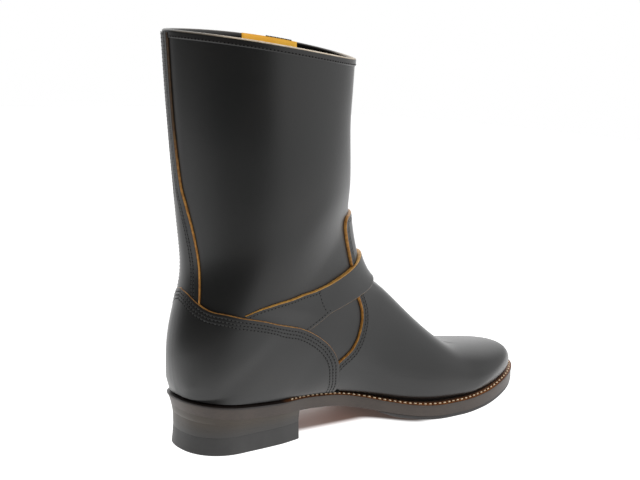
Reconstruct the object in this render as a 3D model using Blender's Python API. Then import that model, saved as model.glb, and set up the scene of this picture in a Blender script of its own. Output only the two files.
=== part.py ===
"""Left engineer boot: a pull-on leather boot with an instep strap, built from named sizes.

Lengths are millimetres along the last: x runs from the back of the sole to the toe, y to the
outer side of the foot and z up from the floor. The finished pieces are moved so that the origin
lies on the floor under the middle of the boot, and are in metres.

The upper's surface is a fan of sections from the toe, over the instep and up the shaft. A place on
it is (u, q): u counts sections from toe (0) to collar, and q runs round a section from the inner
side's lower end (-1) over the ridge of the foot or the shin (0) to the outer side's lower end (1).
"""
import bmesh
import bpy
import numpy as np

MM = 0.001
BOOT = "engineer_boot"

# Sole
SOLE_LENGTH = 297.5
HEEL_LENGTH = 87.0
HEEL_CENTRE_X = 34.0
BALL_X = 223.0
HEEL_ROUND = 2.25
TOE_ROUND = 1.85
TOE_SHIFT = -4.0
WELT = 3.0
OUTSOLE = 7.2
HALF_SOLE = 2.4
HALF_SOLE_START = 156.0
HALF_SOLE_SKIVE = 0.8
HEEL_TOP_PIECE = 12.8
HEEL_LIFTS = 3
EDGE_STEP = 0.5
SEAM = 0.3
WELT_INNER_EDGE = 13.0
INSOLE = 3.5
INSOLE_EDGE = 10.2

# Upper
WALL = 2.2
VAMP = 1.4
COUNTER = 1.9
BACKSTAY = 1.1
STRAP = 1.8
BINDING = 0.9
BINDING_DEPTH = 4.5
PATCH = 1.2
PATCH_DEPTH = 42.0
PATCH_RISE = 2.0
PATCH_FROM = 0.3
PATCH_TO = 0.5
LAY = 0.5

# Buckle on the outer side, at a share of the strap's run from the ridge
BUCKLE_AT = 0.46
BUCKLE_WIRE = 1.7
BUCKLE_LENGTH = 26.0
BUCKLE_OVERHANG = 0.17
BUCKLE_CORNER = 0.35
BUCKLE_POINTS = 24
PRONG_WIRE = 1.1
PRONG_REACH = 1.1
PRONG_POINTS = 7
KEEPER_AFTER = 2.1
KEEPER_OVERHANG = 0.06
KEEPER_WIDTH = 9.0
KEEPER = 1.4

# Half widths of the sole between heel and ball, from the line through the heel's middle
SOLE_COLUMNS = ("x", "inner", "outer")
SOLE_SIDES = (
    (HEEL_CENTRE_X, 35.3, 35.3),
    (68.5, 33.0, 35.4),
    (98.0, 26.9, 36.0),
    (127.0, 25.2, 38.5),
    (161.0, 34.9, 44.0),
    (196.0, 44.5, 50.0),
    (210.0, 46.2, 51.3),
    (BALL_X, 45.8, 51.0),
)

# How far the heel's sides and back stand in from the sole's edge, at heights above the floor
HEEL_COLUMNS = ("height", "side", "back")
HEEL_SIDES = (
    (0.0, 1.6, 3.4),
    (12.8, 2.0, 4.8),
    (21.0, 1.7, 4.8),
    (29.5, 1.0, 3.6),
    (37.0, EDGE_STEP, 1.0),
)

# Height of the upper's lower edge, and how far it stands in from the sole's edge
FEATHER_COLUMNS = ("x", "height", "ledge")
FEATHER = (
    (0.0, 40.8, 4.0),
    (40.0, 35.6, 4.0),
    (70.0, 33.4, 4.0),
    (90.0, 32.4, 4.0),
    (117.0, 30.0, 4.0),
    (140.0, 25.6, 4.5),
    (161.0, 20.2, 5.0),
    (180.0, 15.9, 5.5),
    (196.0, 13.9, 6.0),
    (204.0, 13.5, 6.0),
    (222.0, 13.5, 6.0),
    (245.0, 15.2, 6.0),
    (274.0, 20.8, 6.0),
    (SOLE_LENGTH, 26.8, 6.0),
)

# Sections that stand on the sole. The first five share one base and fan out over the toe
FOOT_COLUMNS = ("base_x", "top_x", "top_z", "inner", "outer", "wide_at", "round_low", "round_top", "top_y")
FOOT = (
    (BALL_X, 291.0, 26.0, 39.8, 45.0, 0.02, 2.0, 1.85, -4.0),
    (BALL_X, 291.6, 31.5, 40.8, 45.9, 0.10, 2.0, 1.90, -4.0),
    (BALL_X, 283.5, 39.5, 42.6, 47.0, 0.25, 2.0, 2.00, -4.0),
    (BALL_X, 257.5, 42.8, 43.8, 47.8, 0.36, 2.0, 2.15, -3.5),
    (BALL_X, 231.0, 46.5, 44.0, 48.0, 0.32, 2.0, 2.25, -3.0),
    (200.0, 211.5, 59.0, 43.0, 47.5, 0.29, 2.0, 2.15, -4.0),
    (165.0, 190.0, 79.0, 37.5, 43.5, 0.28, 2.0, 2.05, -4.0),
    (130.0, 172.0, 97.0, 34.0, 40.0, 0.32, 2.0, 2.00, -3.0),
    (95.0, 157.0, 110.0, 35.0, 39.0, 0.37, 2.0, 2.00, -2.0),
    (56.0, 147.6, 130.3, 36.5, 38.5, 0.42, 2.1, 2.00, -1.0),
    (25.0, 144.2, 150.5, 37.5, 38.5, 0.45, 2.2, 2.00, 0.0),
    (9.0, 143.0, 160.0, 38.2, 39.0, 0.47, 2.35, 2.00, 0.0),
    (4.0, 142.0, 167.0, 38.5, 39.3, 0.48, 2.48, 2.00, 0.0),
)

# Sections that close round the heel, the ankle and the leg
SHAFT_COLUMNS = ("back_x", "back_z", "front_x", "front_z", "half", "round_back", "round_front", "twist")
SHAFT = (
    (-3.0, 70.0, 141.2, 174.0, 39.8, 2.20, 2.00, 2.5),
    (13.0, 119.0, 139.8, 185.0, 42.8, 1.85, 2.05, 6.5),
    (9.8, 165.0, 138.2, 203.0, 45.5, 1.70, 2.10, 10.0),
    (6.0, 213.0, 136.8, 227.0, 47.8, 1.65, 2.10, 12.5),
    (3.0, 256.0, 138.2, 251.0, 48.6, 1.65, 2.10, 13.0),
    (0.6, 296.2, 139.6, 273.6, 49.0, 1.65, 2.10, 13.0),
)
TOE_FAN = 4
COLLAR_LEAN = (-0.05, 0.11)
COLLAR_CROWN = 2.0
COLLAR_LENGTH = 140.0
HEEL_BACK = len(FOOT) - 1
COLLAR = len(FOOT) + len(SHAFT) - 1

# Rear edge of the vamp, from the ridge of the tab down each side, as sections
VAMP_COLUMNS = ("q", "u")
VAMP_EDGE = (
    (0.00, 11.05), (0.06, 11.45), (0.10, 11.85), (0.13, 11.98), (0.143, 11.90), (0.154, 11.55),
    (0.164, 10.82), (0.174, 10.19), (0.188, 9.60), (0.211, 9.11), (0.259, 8.692), (0.318, 8.285),
    (0.355, 8.097), (0.401, 7.964), (0.503, 7.822), (0.582, 7.779), (0.654, 7.833), (0.726, 7.947), (1.00, 7.98),
)

# How far the counter reaches up each section from its lower end, as a share of the half section
COUNTER_COLUMNS = ("u", "reach")
COUNTER_EDGE = (
    (7.36, 0.0), (7.42, 0.05), (7.517, 0.114), (7.764, 0.207), (8.046, 0.293), (8.336, 0.348),
    (8.691, 0.388), (9.125, 0.409), (9.472, 0.414), (9.873, 0.412), (10.386, 0.407), (10.89, 0.409),
    (11.49, 0.412), (11.95, 0.406), (12.27, 0.392), (12.50, 0.373), (12.76, 0.341), (13.02, 0.295),
    (13.28, 0.236), (13.50, 0.164), (13.69, 0.106), (13.80, 0.072), (13.87, 0.045), (13.93, 0.0),
)

# Half width of the strip down the back seam, in millimetres
BACKSTAY_COLUMNS = ("u", "half")
BACKSTAY_EDGE = (
    (13.0, 25.0), (13.7, 20.8), (14.04, 18.2), (14.45, 16.8), (14.81, 15.0), (15.23, 11.2),
    (15.46, 8.6), (16.05, 7.2), (16.5, 6.6), (18.0, 7.0),
)

# Lower and upper edges of the strap, from the ridge of the instep down to the counter
STRAP_COLUMNS = ("along", "low_q", "low_u", "up_q", "up_u")
STRAP_EDGES = (
    (0.00, 0.000, 7.66, 0.000, 8.90),
    (0.15, 0.150, 7.92, 0.160, 9.13),
    (0.33, 0.305, 8.47, 0.300, 9.61),
    (0.45, 0.413, 8.92, 0.373, 10.04),
    (0.56, 0.477, 9.19, 0.424, 10.68),
    (0.68, 0.511, 9.26, 0.457, 11.61),
    (0.78, 0.536, 9.31, 0.485, 12.00),
    (0.88, 0.560, 9.37, 0.540, 12.48),
    (0.95, 0.576, 9.41, 0.630, 12.87),
    (1.00, 0.585, 9.44, 0.690, 13.00),
)
STRAP_END_GAP = 2.0
RISE_START = 0.75
RISE_END = 0.36
RISE_CLEAR = 0.28
FOOT_CLEAR = 0.6
STRAP_END = 0.95

# Mesh density
SUB_ROWS = 10
HALF_COLUMNS = 48
ROWS = np.concatenate([np.arange(0, 7, 0.5), (7.0, 7.25), np.arange(7.5, 10, 0.5),
                       np.arange(10, 15, 0.25), (15.0, 16.0), np.arange(16.5, 18.1, 0.5)])
Q_STEPS = (0.0, 0.1, 0.2, 0.3, 0.4, 0.5, 0.6, 0.7, 0.79, 0.87, 0.93, 0.97, 1.0)
RELAX = 12
HEEL_RELAX = 60
BACK_ROUNDING = 5
MITRE = 0.5
LOOP_POINTS = 30
WELD = 1e-5

# Colour, roughness and metallic value of each material
MATERIALS = {
    "black_leather": ((0.016, 0.016, 0.017), 0.38, 0.0),
    "tan_leather": ((0.55, 0.26, 0.06), 0.62, 0.0),
    "insole_leather": ((0.52, 0.36, 0.20), 0.70, 0.0),
    "welt_leather": ((0.20, 0.075, 0.025), 0.50, 0.0),
    "sole_leather": ((0.060, 0.042, 0.032), 0.48, 0.0),
    "rubber": ((0.022, 0.021, 0.021), 0.70, 0.0),
    "nickel": ((0.62, 0.60, 0.56), 0.28, 1.0),
}


def table(columns, rows):
    """A table's columns by name, as arrays."""
    values = np.array(rows, float)
    return {name: values[:, i] for i, name in enumerate(columns)}


def smooth(knots, values, at):
    """A curve through the knots that never overshoots them (monotone cubic)."""
    step = np.diff(knots)
    slope = np.diff(values) / step
    before, after = slope[:-1], slope[1:]
    one_way = before * after > 0
    near, far = 2 * step[1:] + step[:-1], step[1:] + 2 * step[:-1]
    safe_before = np.where(one_way, before, 1.0)
    safe_after = np.where(one_way, after, 1.0)
    mean = (near + far) / (near / safe_before + far / safe_after)
    tangent = np.concatenate([[slope[0]], np.where(one_way, mean, 0.0), [slope[-1]]])
    at = np.clip(np.asarray(at, float), knots[0], knots[-1])
    k = np.clip(np.searchsorted(knots, at, side="right") - 1, 0, len(step) - 1)
    t = (at - knots[k]) / step[k]
    return ((2 * t**3 - 3 * t**2 + 1) * values[k] + (t**3 - 2 * t**2 + t) * step[k] * tangent[k]
            + (3 * t**2 - 2 * t**3) * values[k + 1] + (t**3 - t**2) * step[k] * tangent[k + 1])


def ease(t):
    """A soft step from 0 to 1."""
    t = np.clip(t, 0.0, 1.0)
    return t * t * (3 - 2 * t)


SOLE_TABLE = table(SOLE_COLUMNS, SOLE_SIDES)
FEATHER_TABLE = table(FEATHER_COLUMNS, FEATHER)
VAMP_TABLE = table(VAMP_COLUMNS, VAMP_EDGE)
COUNTER_TABLE = table(COUNTER_COLUMNS, COUNTER_EDGE)
BACKSTAY_TABLE = table(BACKSTAY_COLUMNS, BACKSTAY_EDGE)
STRAP_TABLE = table(STRAP_COLUMNS, STRAP_EDGES)
HEEL_TABLE = table(HEEL_COLUMNS, HEEL_SIDES)


def feather_height(x):
    """Height of the upper's lower edge at x."""
    return smooth(FEATHER_TABLE["x"], FEATHER_TABLE["height"], x)


def ledge(x):
    """How far the upper's lower edge stands in from the sole's edge at x."""
    return smooth(FEATHER_TABLE["x"], FEATHER_TABLE["ledge"], x)


def outline(x, inset, side, back=None):
    """The sole's edge at x, set in by inset, or by back behind: y on the inner (-1) or outer (1) side."""
    x = np.asarray(x, float)
    inset = np.asarray(inset, float) + 0 * x
    back = inset if back is None else back
    column = "inner" if side < 0 else "outer"
    within = np.clip(x, HEEL_CENTRE_X, BALL_X)
    half = smooth(SOLE_TABLE["x"], SOLE_TABLE[column], within) - inset
    behind = np.clip((HEEL_CENTRE_X - x) / (HEEL_CENTRE_X - back), 0, 1)
    ahead = np.clip((x - BALL_X) / (SOLE_LENGTH - inset - BALL_X), 0, 1)
    half = half * (1 - behind**HEEL_ROUND) ** (1 / HEEL_ROUND)
    half = half * (1 - ahead**TOE_ROUND) ** (1 / TOE_ROUND)
    return side * half + TOE_SHIFT * ahead**2


def half_section(length, base, wide, wide_at, round_low, round_top):
    """One side of a section: distances up it and half widths, from its base to its ridge."""
    turn = np.linspace(0, np.pi / 2, 60)
    low_up = wide_at * length * (1 - np.cos(turn) ** (2 / round_low))
    tucked = np.sin(turn) ** (2 / round_low)
    leaning = 1 - (1 - low_up / low_up[-1]) ** 2
    low_half = base + (wide - base) * (tucked + (leaning - tucked) * ease(2 * base / wide - 0.6))
    top_up = wide_at * length + (1 - wide_at) * length * np.sin(turn) ** (2 / round_top)
    top_half = wide * np.cos(turn) ** (2 / round_top)
    return np.concatenate([low_up, top_up[1:]]), np.concatenate([low_half, top_half[1:]])


def section_rows():
    """Every section's values, in order from toe to collar."""
    rows = []
    for values in FOOT:
        row = dict(zip(FOOT_COLUMNS, values))
        x = row["base_x"]
        row.update(base_z=float(feather_height(x)), twist=0.0)
        row.update(base_inner=-float(outline(x, ledge(x), -1)), base_outer=float(outline(x, ledge(x), 1)))
        rows.append(row)
    for values in SHAFT:
        row = dict(zip(SHAFT_COLUMNS, values))
        rows.append(dict(base_x=row["back_x"], base_z=row["back_z"], top_x=row["front_x"], top_z=row["front_z"],
                         inner=row["half"], outer=row["half"], wide_at=0.5, round_low=row["round_back"],
                         round_top=row["round_front"], top_y=0.0, twist=row["twist"],
                         base_inner=0.0, base_outer=0.0))
    return rows


def section_points(row):
    """A section's points from the inner side's lower end over the ridge to the outer side's."""
    base = np.array([row["base_x"], row["base_z"]])
    top = np.array([row["top_x"], row["top_z"]])
    length = np.linalg.norm(top - base)
    along = (top - base) / length
    halves = []
    for side, name in ((-1, "inner"), (1, "outer")):
        up, half = half_section(length, row["base_" + name], row[name], row["wide_at"],
                                row["round_low"], row["round_top"])
        run = np.concatenate([[0], np.cumsum(np.hypot(np.diff(up), np.diff(half)))])
        even = np.linspace(0, run[-1], HALF_COLUMNS + 1)
        up, half = np.interp(even, run, up), np.interp(even, run, half)
        middle = row["top_y"] * up / length
        halves.append(np.stack([base[0] + along[0] * up, middle + side * half, base[1] + along[1] * up], -1))
    points = np.concatenate([halves[0], halves[1][::-1][1:]])
    turn = np.radians(-row["twist"])
    centre = (base[0] + top[0]) / 2
    x, y = points[:, 0] - centre, points[:, 1].copy()
    points[:, 0] = centre + x * np.cos(turn) - y * np.sin(turn)
    points[:, 1] = x * np.sin(turn) + y * np.cos(turn)
    return points


def lookup(values, row, column):
    """Catmull-Rom interpolation in a table of points at fractional rows and columns."""
    padded = np.pad(values, ((1, 1), (1, 1), (0, 0)), mode="reflect", reflect_type="odd")
    i = np.clip(np.floor(row).astype(int), 0, values.shape[0] - 2)
    j = np.clip(np.floor(column).astype(int), 0, values.shape[1] - 2)
    weights = []
    for t in (row - i, column - j):
        weights.append((-t + 2 * t**2 - t**3, 2 - 5 * t**2 + 3 * t**3, t + 4 * t**2 - 3 * t**3, t**3 - t**2))
    total = 0.0
    for a in range(4):
        for b in range(4):
            total = total + (weights[0][a] * weights[1][b] / 4)[..., None] * padded[i + a, j + b]
    return total


class BootForm:
    """The upper's outer surface as a dense table of points with their outward directions."""

    def __init__(self):
        keys = section_rows()
        u = np.linspace(0, COLLAR, COLLAR * SUB_ROWS + 1)
        knots = np.arange(len(keys), dtype=float)
        columns = {name: smooth(knots, np.array([row[name] for row in keys]), u) for name in keys[0]}
        on_sole = u <= HEEL_BACK
        base_x = columns["base_x"]
        columns["base_z"] = np.where(on_sole, feather_height(base_x), columns["base_z"])
        for name, side in (("base_inner", -1), ("base_outer", 1)):
            columns[name] = np.where(on_sole, side * outline(base_x, ledge(base_x), side), 0.0)
        rows = [{name: column[i] for name, column in columns.items()} for i in range(len(u))]
        self.points = np.array([section_points(row) for row in rows])
        self.seat_toe(u)
        self.relax(u)
        forward = np.clip(self.points[:, :, 0] / COLLAR_LENGTH, 0, 1)
        lean = (COLLAR_LEAN[0] + COLLAR_LEAN[1] * forward) * self.points[:, :, 1]
        crown = COLLAR_CROWN * 4 * forward * (1 - forward)
        self.points[:, :, 2] += (lean + crown) * ease((u - COLLAR + 2) / 2)[:, None]
        closed = u >= HEEL_BACK
        self.round_back_seam(closed)
        self.out = self.outward(closed)
        steps = np.linalg.norm(np.diff(self.points, axis=1), axis=2)
        self.half_run = steps[:, :HALF_COLUMNS].sum(1)

    def seat_toe(self, u):
        """Bring the toe's lower edge down on to the sole's curve."""
        drop = self.points[0, :, 2] - feather_height(self.points[0, :, 0])
        self.points[:, :, 2] -= drop[None, :] * (np.clip(1 - u / 2, 0, 1) ** 2)[:, None]

    def relax(self, u):
        """Ease the change from section to section, but keep the lower edge and the collar."""
        edge = self.points[u <= HEEL_BACK][:, [0, -1]].copy()
        near_heel = ease(1.2 - np.abs(u - HEEL_BACK) / 2)[1:-1, None, None]
        for step in range(RELAX + HEEL_RELAX):
            softer = (self.points[:-2] - 2 * self.points[1:-1] + self.points[2:]) / 4
            self.points[1:-1] += softer * (1.0 if step < RELAX else near_heel)
            self.points[: len(edge), [0, -1]] = edge

    def round_back_seam(self, closed):
        """Round the fold that the back seam makes in each closed section."""
        for _ in range(BACK_ROUNDING):
            ring = self.points[closed]
            left = np.roll(ring[:, :-1], 1, axis=1)
            right = np.roll(ring[:, :-1], -1, axis=1)
            softer = (left + 2 * ring[:, :-1] + right) / 4
            self.points[closed] = np.concatenate([softer, softer[:, :1]], axis=1)

    def outward(self, closed):
        """Directions out of the surface, laid along the welt at the lower edge."""
        along, across = np.gradient(self.points, axis=0), np.gradient(self.points, axis=1)
        out = np.cross(across, along)
        for edge, inside in ((0, 1), (-1, -2)):
            flat = np.linalg.norm(out[:, edge], axis=1) < 1e-6
            out[flat, edge] = out[flat, inside]
        out /= np.linalg.norm(out, axis=2, keepdims=True)
        seam = out[closed, 0] + out[closed, -1]
        seam /= np.linalg.norm(seam, axis=1, keepdims=True)
        out[closed, 0] = out[closed, -1] = seam
        lower_edge = np.zeros(out.shape[:2], bool)
        lower_edge[~closed, 0] = lower_edge[~closed, -1] = lower_edge[0] = True
        level = out[lower_edge] * (1, 1, 0)
        level /= np.maximum((level**2).sum(1, keepdims=True), MITRE)
        x = self.points[lower_edge][:, 0]
        level[:, 2] = (feather_height(x + 1) - feather_height(x - 1)) / 2 * level[:, 0]
        out[lower_edge] = level
        for edge in (0, -1):
            out[: TOE_FAN * SUB_ROWS, edge] = out[TOE_FAN * SUB_ROWS, edge]
        return out

    def at(self, u, q, offset=0.0):
        """Points at places (u, q), offset outwards but never below the sole's curve."""
        u, q = np.broadcast_arrays(np.asarray(u, float), np.asarray(q, float))
        row, column = u * SUB_ROWS, (q + 1) * HALF_COLUMNS
        offset = np.asarray(offset, float) + 0 * u
        points = lookup(self.points, row, column) + offset[..., None] * lookup(self.out, row, column)
        points[..., 2] = np.maximum(points[..., 2], feather_height(points[..., 0]))
        return points

    def share(self, u, width):
        """A width in millimetres as a share of the half section at u."""
        rows = np.arange(len(self.half_run)) / SUB_ROWS
        return width / np.interp(u, rows, self.half_run)


FORM = BootForm()


def loft_solid(name, sheets, material):
    """A closed solid between pairs of like grids of points: each pair is a front and a back."""
    ids, fronts, backs, faces = {}, [], [], []
    for front, back in sheets:
        index = np.empty(front.shape[:2], int)
        for place in np.ndindex(index.shape):
            key = tuple(np.round(front[place], 3))
            if key not in ids:
                ids[key] = len(fronts)
                fronts.append(front[place])
                backs.append(back[place])
            index[place] = ids[key]
        for i, j in np.ndindex(index.shape[0] - 1, index.shape[1] - 1):
            a, b, c, d = index[i, j], index[i + 1, j], index[i + 1, j + 1], index[i, j + 1]
            faces += [loop for loop in ([a, b, c], [a, c, d]) if len(set(loop)) == 3]
    count = len(fronts)
    edges = {(a, b) for loop in faces for a, b in zip(loop, loop[1:] + loop[:1])}
    walls = [(b, a, a + count, b + count) for a, b in edges if (b, a) not in edges]
    shell = [tuple(loop) for loop in faces] + [tuple(c + count for c in loop[::-1]) for loop in faces] + sorted(walls)
    mesh = bpy.data.meshes.new(name)
    mesh.from_pydata([tuple(p * MM) for p in fronts + backs], [], shell)
    return finish(name, mesh, material)


def finish(name, mesh, material):
    """Clean a mesh, turn its faces outwards and put it in the boot's collection."""
    work = bmesh.new()
    work.from_mesh(mesh)
    bmesh.ops.remove_doubles(work, verts=work.verts, dist=WELD)
    bmesh.ops.dissolve_degenerate(work, edges=work.edges, dist=WELD)
    bmesh.ops.triangulate(work, faces=work.faces)
    bmesh.ops.recalc_face_normals(work, faces=work.faces)
    work.to_mesh(mesh)
    work.free()
    mesh.shade_smooth()
    mesh.set_sharp_from_angle(angle=np.radians(35))
    mesh.materials.append(material_named(material))
    piece = bpy.data.objects.new(name, mesh)
    bpy.data.collections[BOOT].objects.link(piece)
    return piece


def material_named(name):
    """The Principled material of that name, made once."""
    if name in bpy.data.materials:
        return bpy.data.materials[name]
    colour, roughness, metallic = MATERIALS[name]
    material = bpy.data.materials.new(name)
    material.use_nodes = True
    shader = material.node_tree.nodes["Principled BSDF"]
    shader.inputs["Base Color"].default_value = (*colour, 1.0)
    shader.inputs["Roughness"].default_value = roughness
    shader.inputs["Metallic"].default_value = metallic
    return material


def layer(u, q, inner, outer):
    """A front and a back grid over places (u, q), between two offsets from the form."""
    return FORM.at(u, q, outer), FORM.at(u, q, inner)


def section_grid(first, last):
    """Places on the upper's own grid from one section to another, as columns of u and q."""
    u = ROWS[(ROWS >= first) & (ROWS <= last)]
    steps = np.array(Q_STEPS)
    return u[:, None], np.concatenate([-steps[::-1], steps[1:]])[None, :]


def upper():
    """The hollow shaft and quarters, open at the collar and along the sole."""
    u, q = section_grid(0, COLLAR)
    loft_solid("upper", [layer(u + 0 * q, q + 0 * u, -WALL, 0.0)], "black_leather")


def vamp_edge(q):
    """The section at which the vamp ends at q."""
    return smooth(VAMP_TABLE["q"], VAMP_TABLE["u"], np.abs(q))


def vamp():
    """The front of the foot up to its tab at the shin, laid over the quarters."""
    u, q = section_grid(0, np.ceil(VAMP_TABLE["u"].max()))
    u = np.minimum(u, vamp_edge(q))
    loft_solid("vamp", [layer(u, q + 0 * u, LAY, LAY + VAMP)], "black_leather")


def lay_over_vamp(u, q):
    """The offset of a piece that rises where it crosses the vamp's edge."""
    beyond = u - vamp_edge(q)
    rise = ease((RISE_START - beyond) / (RISE_START - RISE_END))
    return LAY + RISE_CLEAR + (VAMP + LAY) * rise


def counter_reach(u):
    """How far the counter reaches up the section at u."""
    return smooth(COUNTER_TABLE["u"], COUNTER_TABLE["reach"], u)


def counter():
    """The heel counter, two wings that join at the back seam, over quarters and vamp ends."""
    edge = COUNTER_TABLE["u"]
    u = np.union1d(np.concatenate([edge[:6], edge[-5:]]), ROWS[(ROWS > edge[0]) & (ROWS < edge[-1])])
    steps = np.array([step for step in Q_STEPS[::-1] if step > 0.55])[None, :]
    lay = (lay_over_vamp(u, 1.0) + FOOT_CLEAR * ease((8.1 - u) / 0.4))[:, None]
    sheets = []
    for side in (-1, 1):
        q = side * np.maximum(steps, 1 - counter_reach(u)[:, None])
        grid = layer(u[:, None] + 0 * q, q, lay, lay + COUNTER)
        sheets.append(grid if side < 0 else tuple(points[:, ::-1] for points in grid))
    loft_solid("counter", sheets, "black_leather")


def backstay():
    """The strip over the back seam, from the counter's top edge to the collar's binding."""
    across = np.linspace(-1, 1, 9)
    top = COLLAR - 0.15
    start = BACKSTAY_TABLE["half"][1] * np.abs(across)
    rows = np.linspace(COUNTER_TABLE["u"][-9], COUNTER_TABLE["u"][-1], 60)
    low = np.array([rows[np.argmin(np.abs(counter_reach(rows) - FORM.share(rows, w)))] for w in start]) + 0.05
    u = np.clip(ROWS[ROWS > low.min() - 0.5][:, None], low[None, :], top)
    half = FORM.share(u, smooth(BACKSTAY_TABLE["u"], BACKSTAY_TABLE["half"], u))
    side = np.where(across < 0, -1.0, 1.0)
    q = side * (1 - half * np.abs(across))
    middle = len(across) // 2
    left, right = slice(0, middle + 1), slice(middle, len(across))
    q_left = q[:, left].copy()
    q_left[:, -1] = -1.0
    sheets = [layer(u[:, left], q_left, LAY, LAY + BACKSTAY), layer(u[:, right], q[:, right], LAY, LAY + BACKSTAY)]
    loft_solid("backstay", sheets, "black_leather")


def strap_place(along, across):
    """Places (u, q) on the strap: along from -1 (inner) to 1 (outer), across from 0 to 1."""
    far = np.abs(along)
    edge = {name: smooth(STRAP_TABLE["along"], STRAP_TABLE[name], far) for name in STRAP_COLUMNS[1:]}
    u = edge["low_u"] + across * (edge["up_u"] - edge["low_u"])
    q = edge["low_q"] + across * (edge["up_q"] - edge["low_q"])
    return u, np.sign(along) * np.minimum(q, 1 - counter_reach(u) - FORM.share(u, STRAP_END_GAP))


def strap():
    """The instep strap, from the counter on the inner side over the instep to the outer side."""
    along = np.linspace(-STRAP_END, STRAP_END, 33)[:, None]
    across = np.linspace(0, 1, 7)[None, :]
    u, q = strap_place(along, across)
    lay = lay_over_vamp(u, q)
    front, back = layer(u, q, lay, lay + STRAP)
    loft_solid("instep_strap", [(front[:, ::-1], back[:, ::-1])], "black_leather")


def strap_point(along, across, lift):
    """A point over the strap's outer face."""
    u, q = strap_place(np.asarray(along, float), np.asarray(across, float))
    return FORM.at(u, q, lay_over_vamp(u, q) + STRAP + lift)


def strap_run():
    """Length of the strap's middle line on the outer side, in millimetres."""
    line = strap_point(np.linspace(0, 1, 40), 0.5 + np.zeros(40), 0.0)
    return np.linalg.norm(np.diff(line, axis=0), axis=1).sum()


def wire(name, points, radius, closed):
    """A round wire along points, as a closed mesh."""
    curve = bpy.data.curves.new(name, "CURVE")
    curve.dimensions = "3D"
    curve.bevel_depth = radius * MM
    curve.bevel_resolution = 2
    curve.use_fill_caps = True
    spline = curve.splines.new("POLY")
    spline.points.add(len(points) - 1)
    spline.points.foreach_set("co", np.column_stack([points * MM, np.ones(len(points))]).ravel())
    spline.use_cyclic_u = closed
    holder = bpy.data.objects.new(name + "_path", curve)
    bpy.data.collections[BOOT].objects.link(holder)
    mesh = bpy.data.meshes.new_from_object(holder.evaluated_get(bpy.context.evaluated_depsgraph_get()))
    bpy.data.objects.remove(holder)
    mesh.materials.clear()
    return finish(name, mesh, "nickel")


def buckle():
    """A plain wire frame with its prong, lying on the strap, and the keeper loop below it."""
    reach = BUCKLE_LENGTH / 2 / strap_run()
    turn = np.linspace(0, 2 * np.pi, BUCKLE_POINTS, endpoint=False)
    along = BUCKLE_AT + reach * np.sign(np.cos(turn)) * np.abs(np.cos(turn)) ** BUCKLE_CORNER
    across = 0.5 + (0.5 + BUCKLE_OVERHANG) * np.sign(np.sin(turn)) * np.abs(np.sin(turn)) ** BUCKLE_CORNER
    wire("buckle_frame", strap_point(along, across, BUCKLE_WIRE + LAY), BUCKLE_WIRE, True)
    lift = 2 * BUCKLE_WIRE + PRONG_WIRE + LAY + SEAM
    prong = BUCKLE_AT + reach * np.linspace(-PRONG_REACH, PRONG_REACH, PRONG_POINTS)
    wire("buckle_prong", strap_point(prong, 0.5 + 0 * prong, lift), PRONG_WIRE, False)
    band = BUCKLE_AT + KEEPER_AFTER * reach + KEEPER_WIDTH / strap_run() * np.linspace(-0.5, 0.5, 3)[:, None]
    width = np.linspace(-KEEPER_OVERHANG, 1 + KEEPER_OVERHANG, 9)[None, :]
    front = strap_point(band, width + 0 * band, SEAM + KEEPER)
    back = strap_point(band, width + 0 * band, SEAM)
    loft_solid("strap_keeper", [(front[:, ::-1], back[:, ::-1])], "black_leather")


def collar_frame(q):
    """Points of the collar's edge at q, with the directions out of the leather and up the leg."""
    edge = FORM.at(COLLAR + 0 * q, q)
    up = edge - FORM.at(COLLAR - 0.1 + 0 * q, q)
    up /= np.linalg.norm(up, axis=1, keepdims=True)
    out = FORM.at(COLLAR + 0 * q, q, 1.0) - edge
    return edge, out, up


def collar_points(q, profile):
    """A grid of points round the collar: each profile point is (outwards, up) from its edge."""
    edge, out, up = collar_frame(q)
    return np.stack([edge + out * d + up * h for d, h in profile], axis=1)


def collar_binding():
    """The folded strip over the collar's edge, seen inside and outside."""
    q = section_grid(0, 0)[1][0]
    fold = ((SEAM, -BINDING_DEPTH), (SEAM, SEAM), (-WALL - SEAM, SEAM), (-WALL - SEAM, -BINDING_DEPTH))
    skin = ((SEAM + BINDING, -BINDING_DEPTH), (SEAM + BINDING, SEAM + BINDING),
            (-WALL - SEAM - BINDING, SEAM + BINDING), (-WALL - SEAM - BINDING, -BINDING_DEPTH))
    front, back = collar_points(q, skin), collar_points(q, fold)
    loft_solid("collar_binding", [(front[:, ::-1], back[:, ::-1])], "black_leather")


def collar_patch():
    """The tan facing inside the collar on the outer side."""
    q = np.array([step for step in Q_STEPS if PATCH_FROM <= step <= PATCH_TO])
    depth = np.linspace(PATCH_RISE, -PATCH_DEPTH, 7)
    near = -WALL - 2 * SEAM - BINDING
    back = collar_points(q, [(near, h) for h in depth])
    front = collar_points(q, [(near - PATCH, h) for h in depth])
    loft_solid("collar_patch", [(front, back)], "tan_leather")


def sole_stations(first, last):
    """x of a plate's cross lines, closer where its ends are round."""
    turn = np.linspace(0, np.pi, LOOP_POINTS)
    return first + (last - first) * (1 - np.cos(turn)) / 2


def plate_grid(x, inset, height, back=None):
    """Points on the two edges of a plate at each x, at a height for each x."""
    y = np.stack([outline(x, inset, -1, back), outline(x, inset, 1, back)], -1)
    return np.stack([x[:, None] + 0 * y, y, np.asarray(height)[:, None] + 0 * y], -1)


def insole():
    """The insole, resting on the welt's inner margin."""
    x = sole_stations(INSOLE_EDGE, SOLE_LENGTH - INSOLE_EDGE)
    height = feather_height(x)
    loft_solid("insole", [(plate_grid(x, INSOLE_EDGE, height + INSOLE), plate_grid(x, INSOLE_EDGE, height))],
               "insole_leather")


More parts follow.
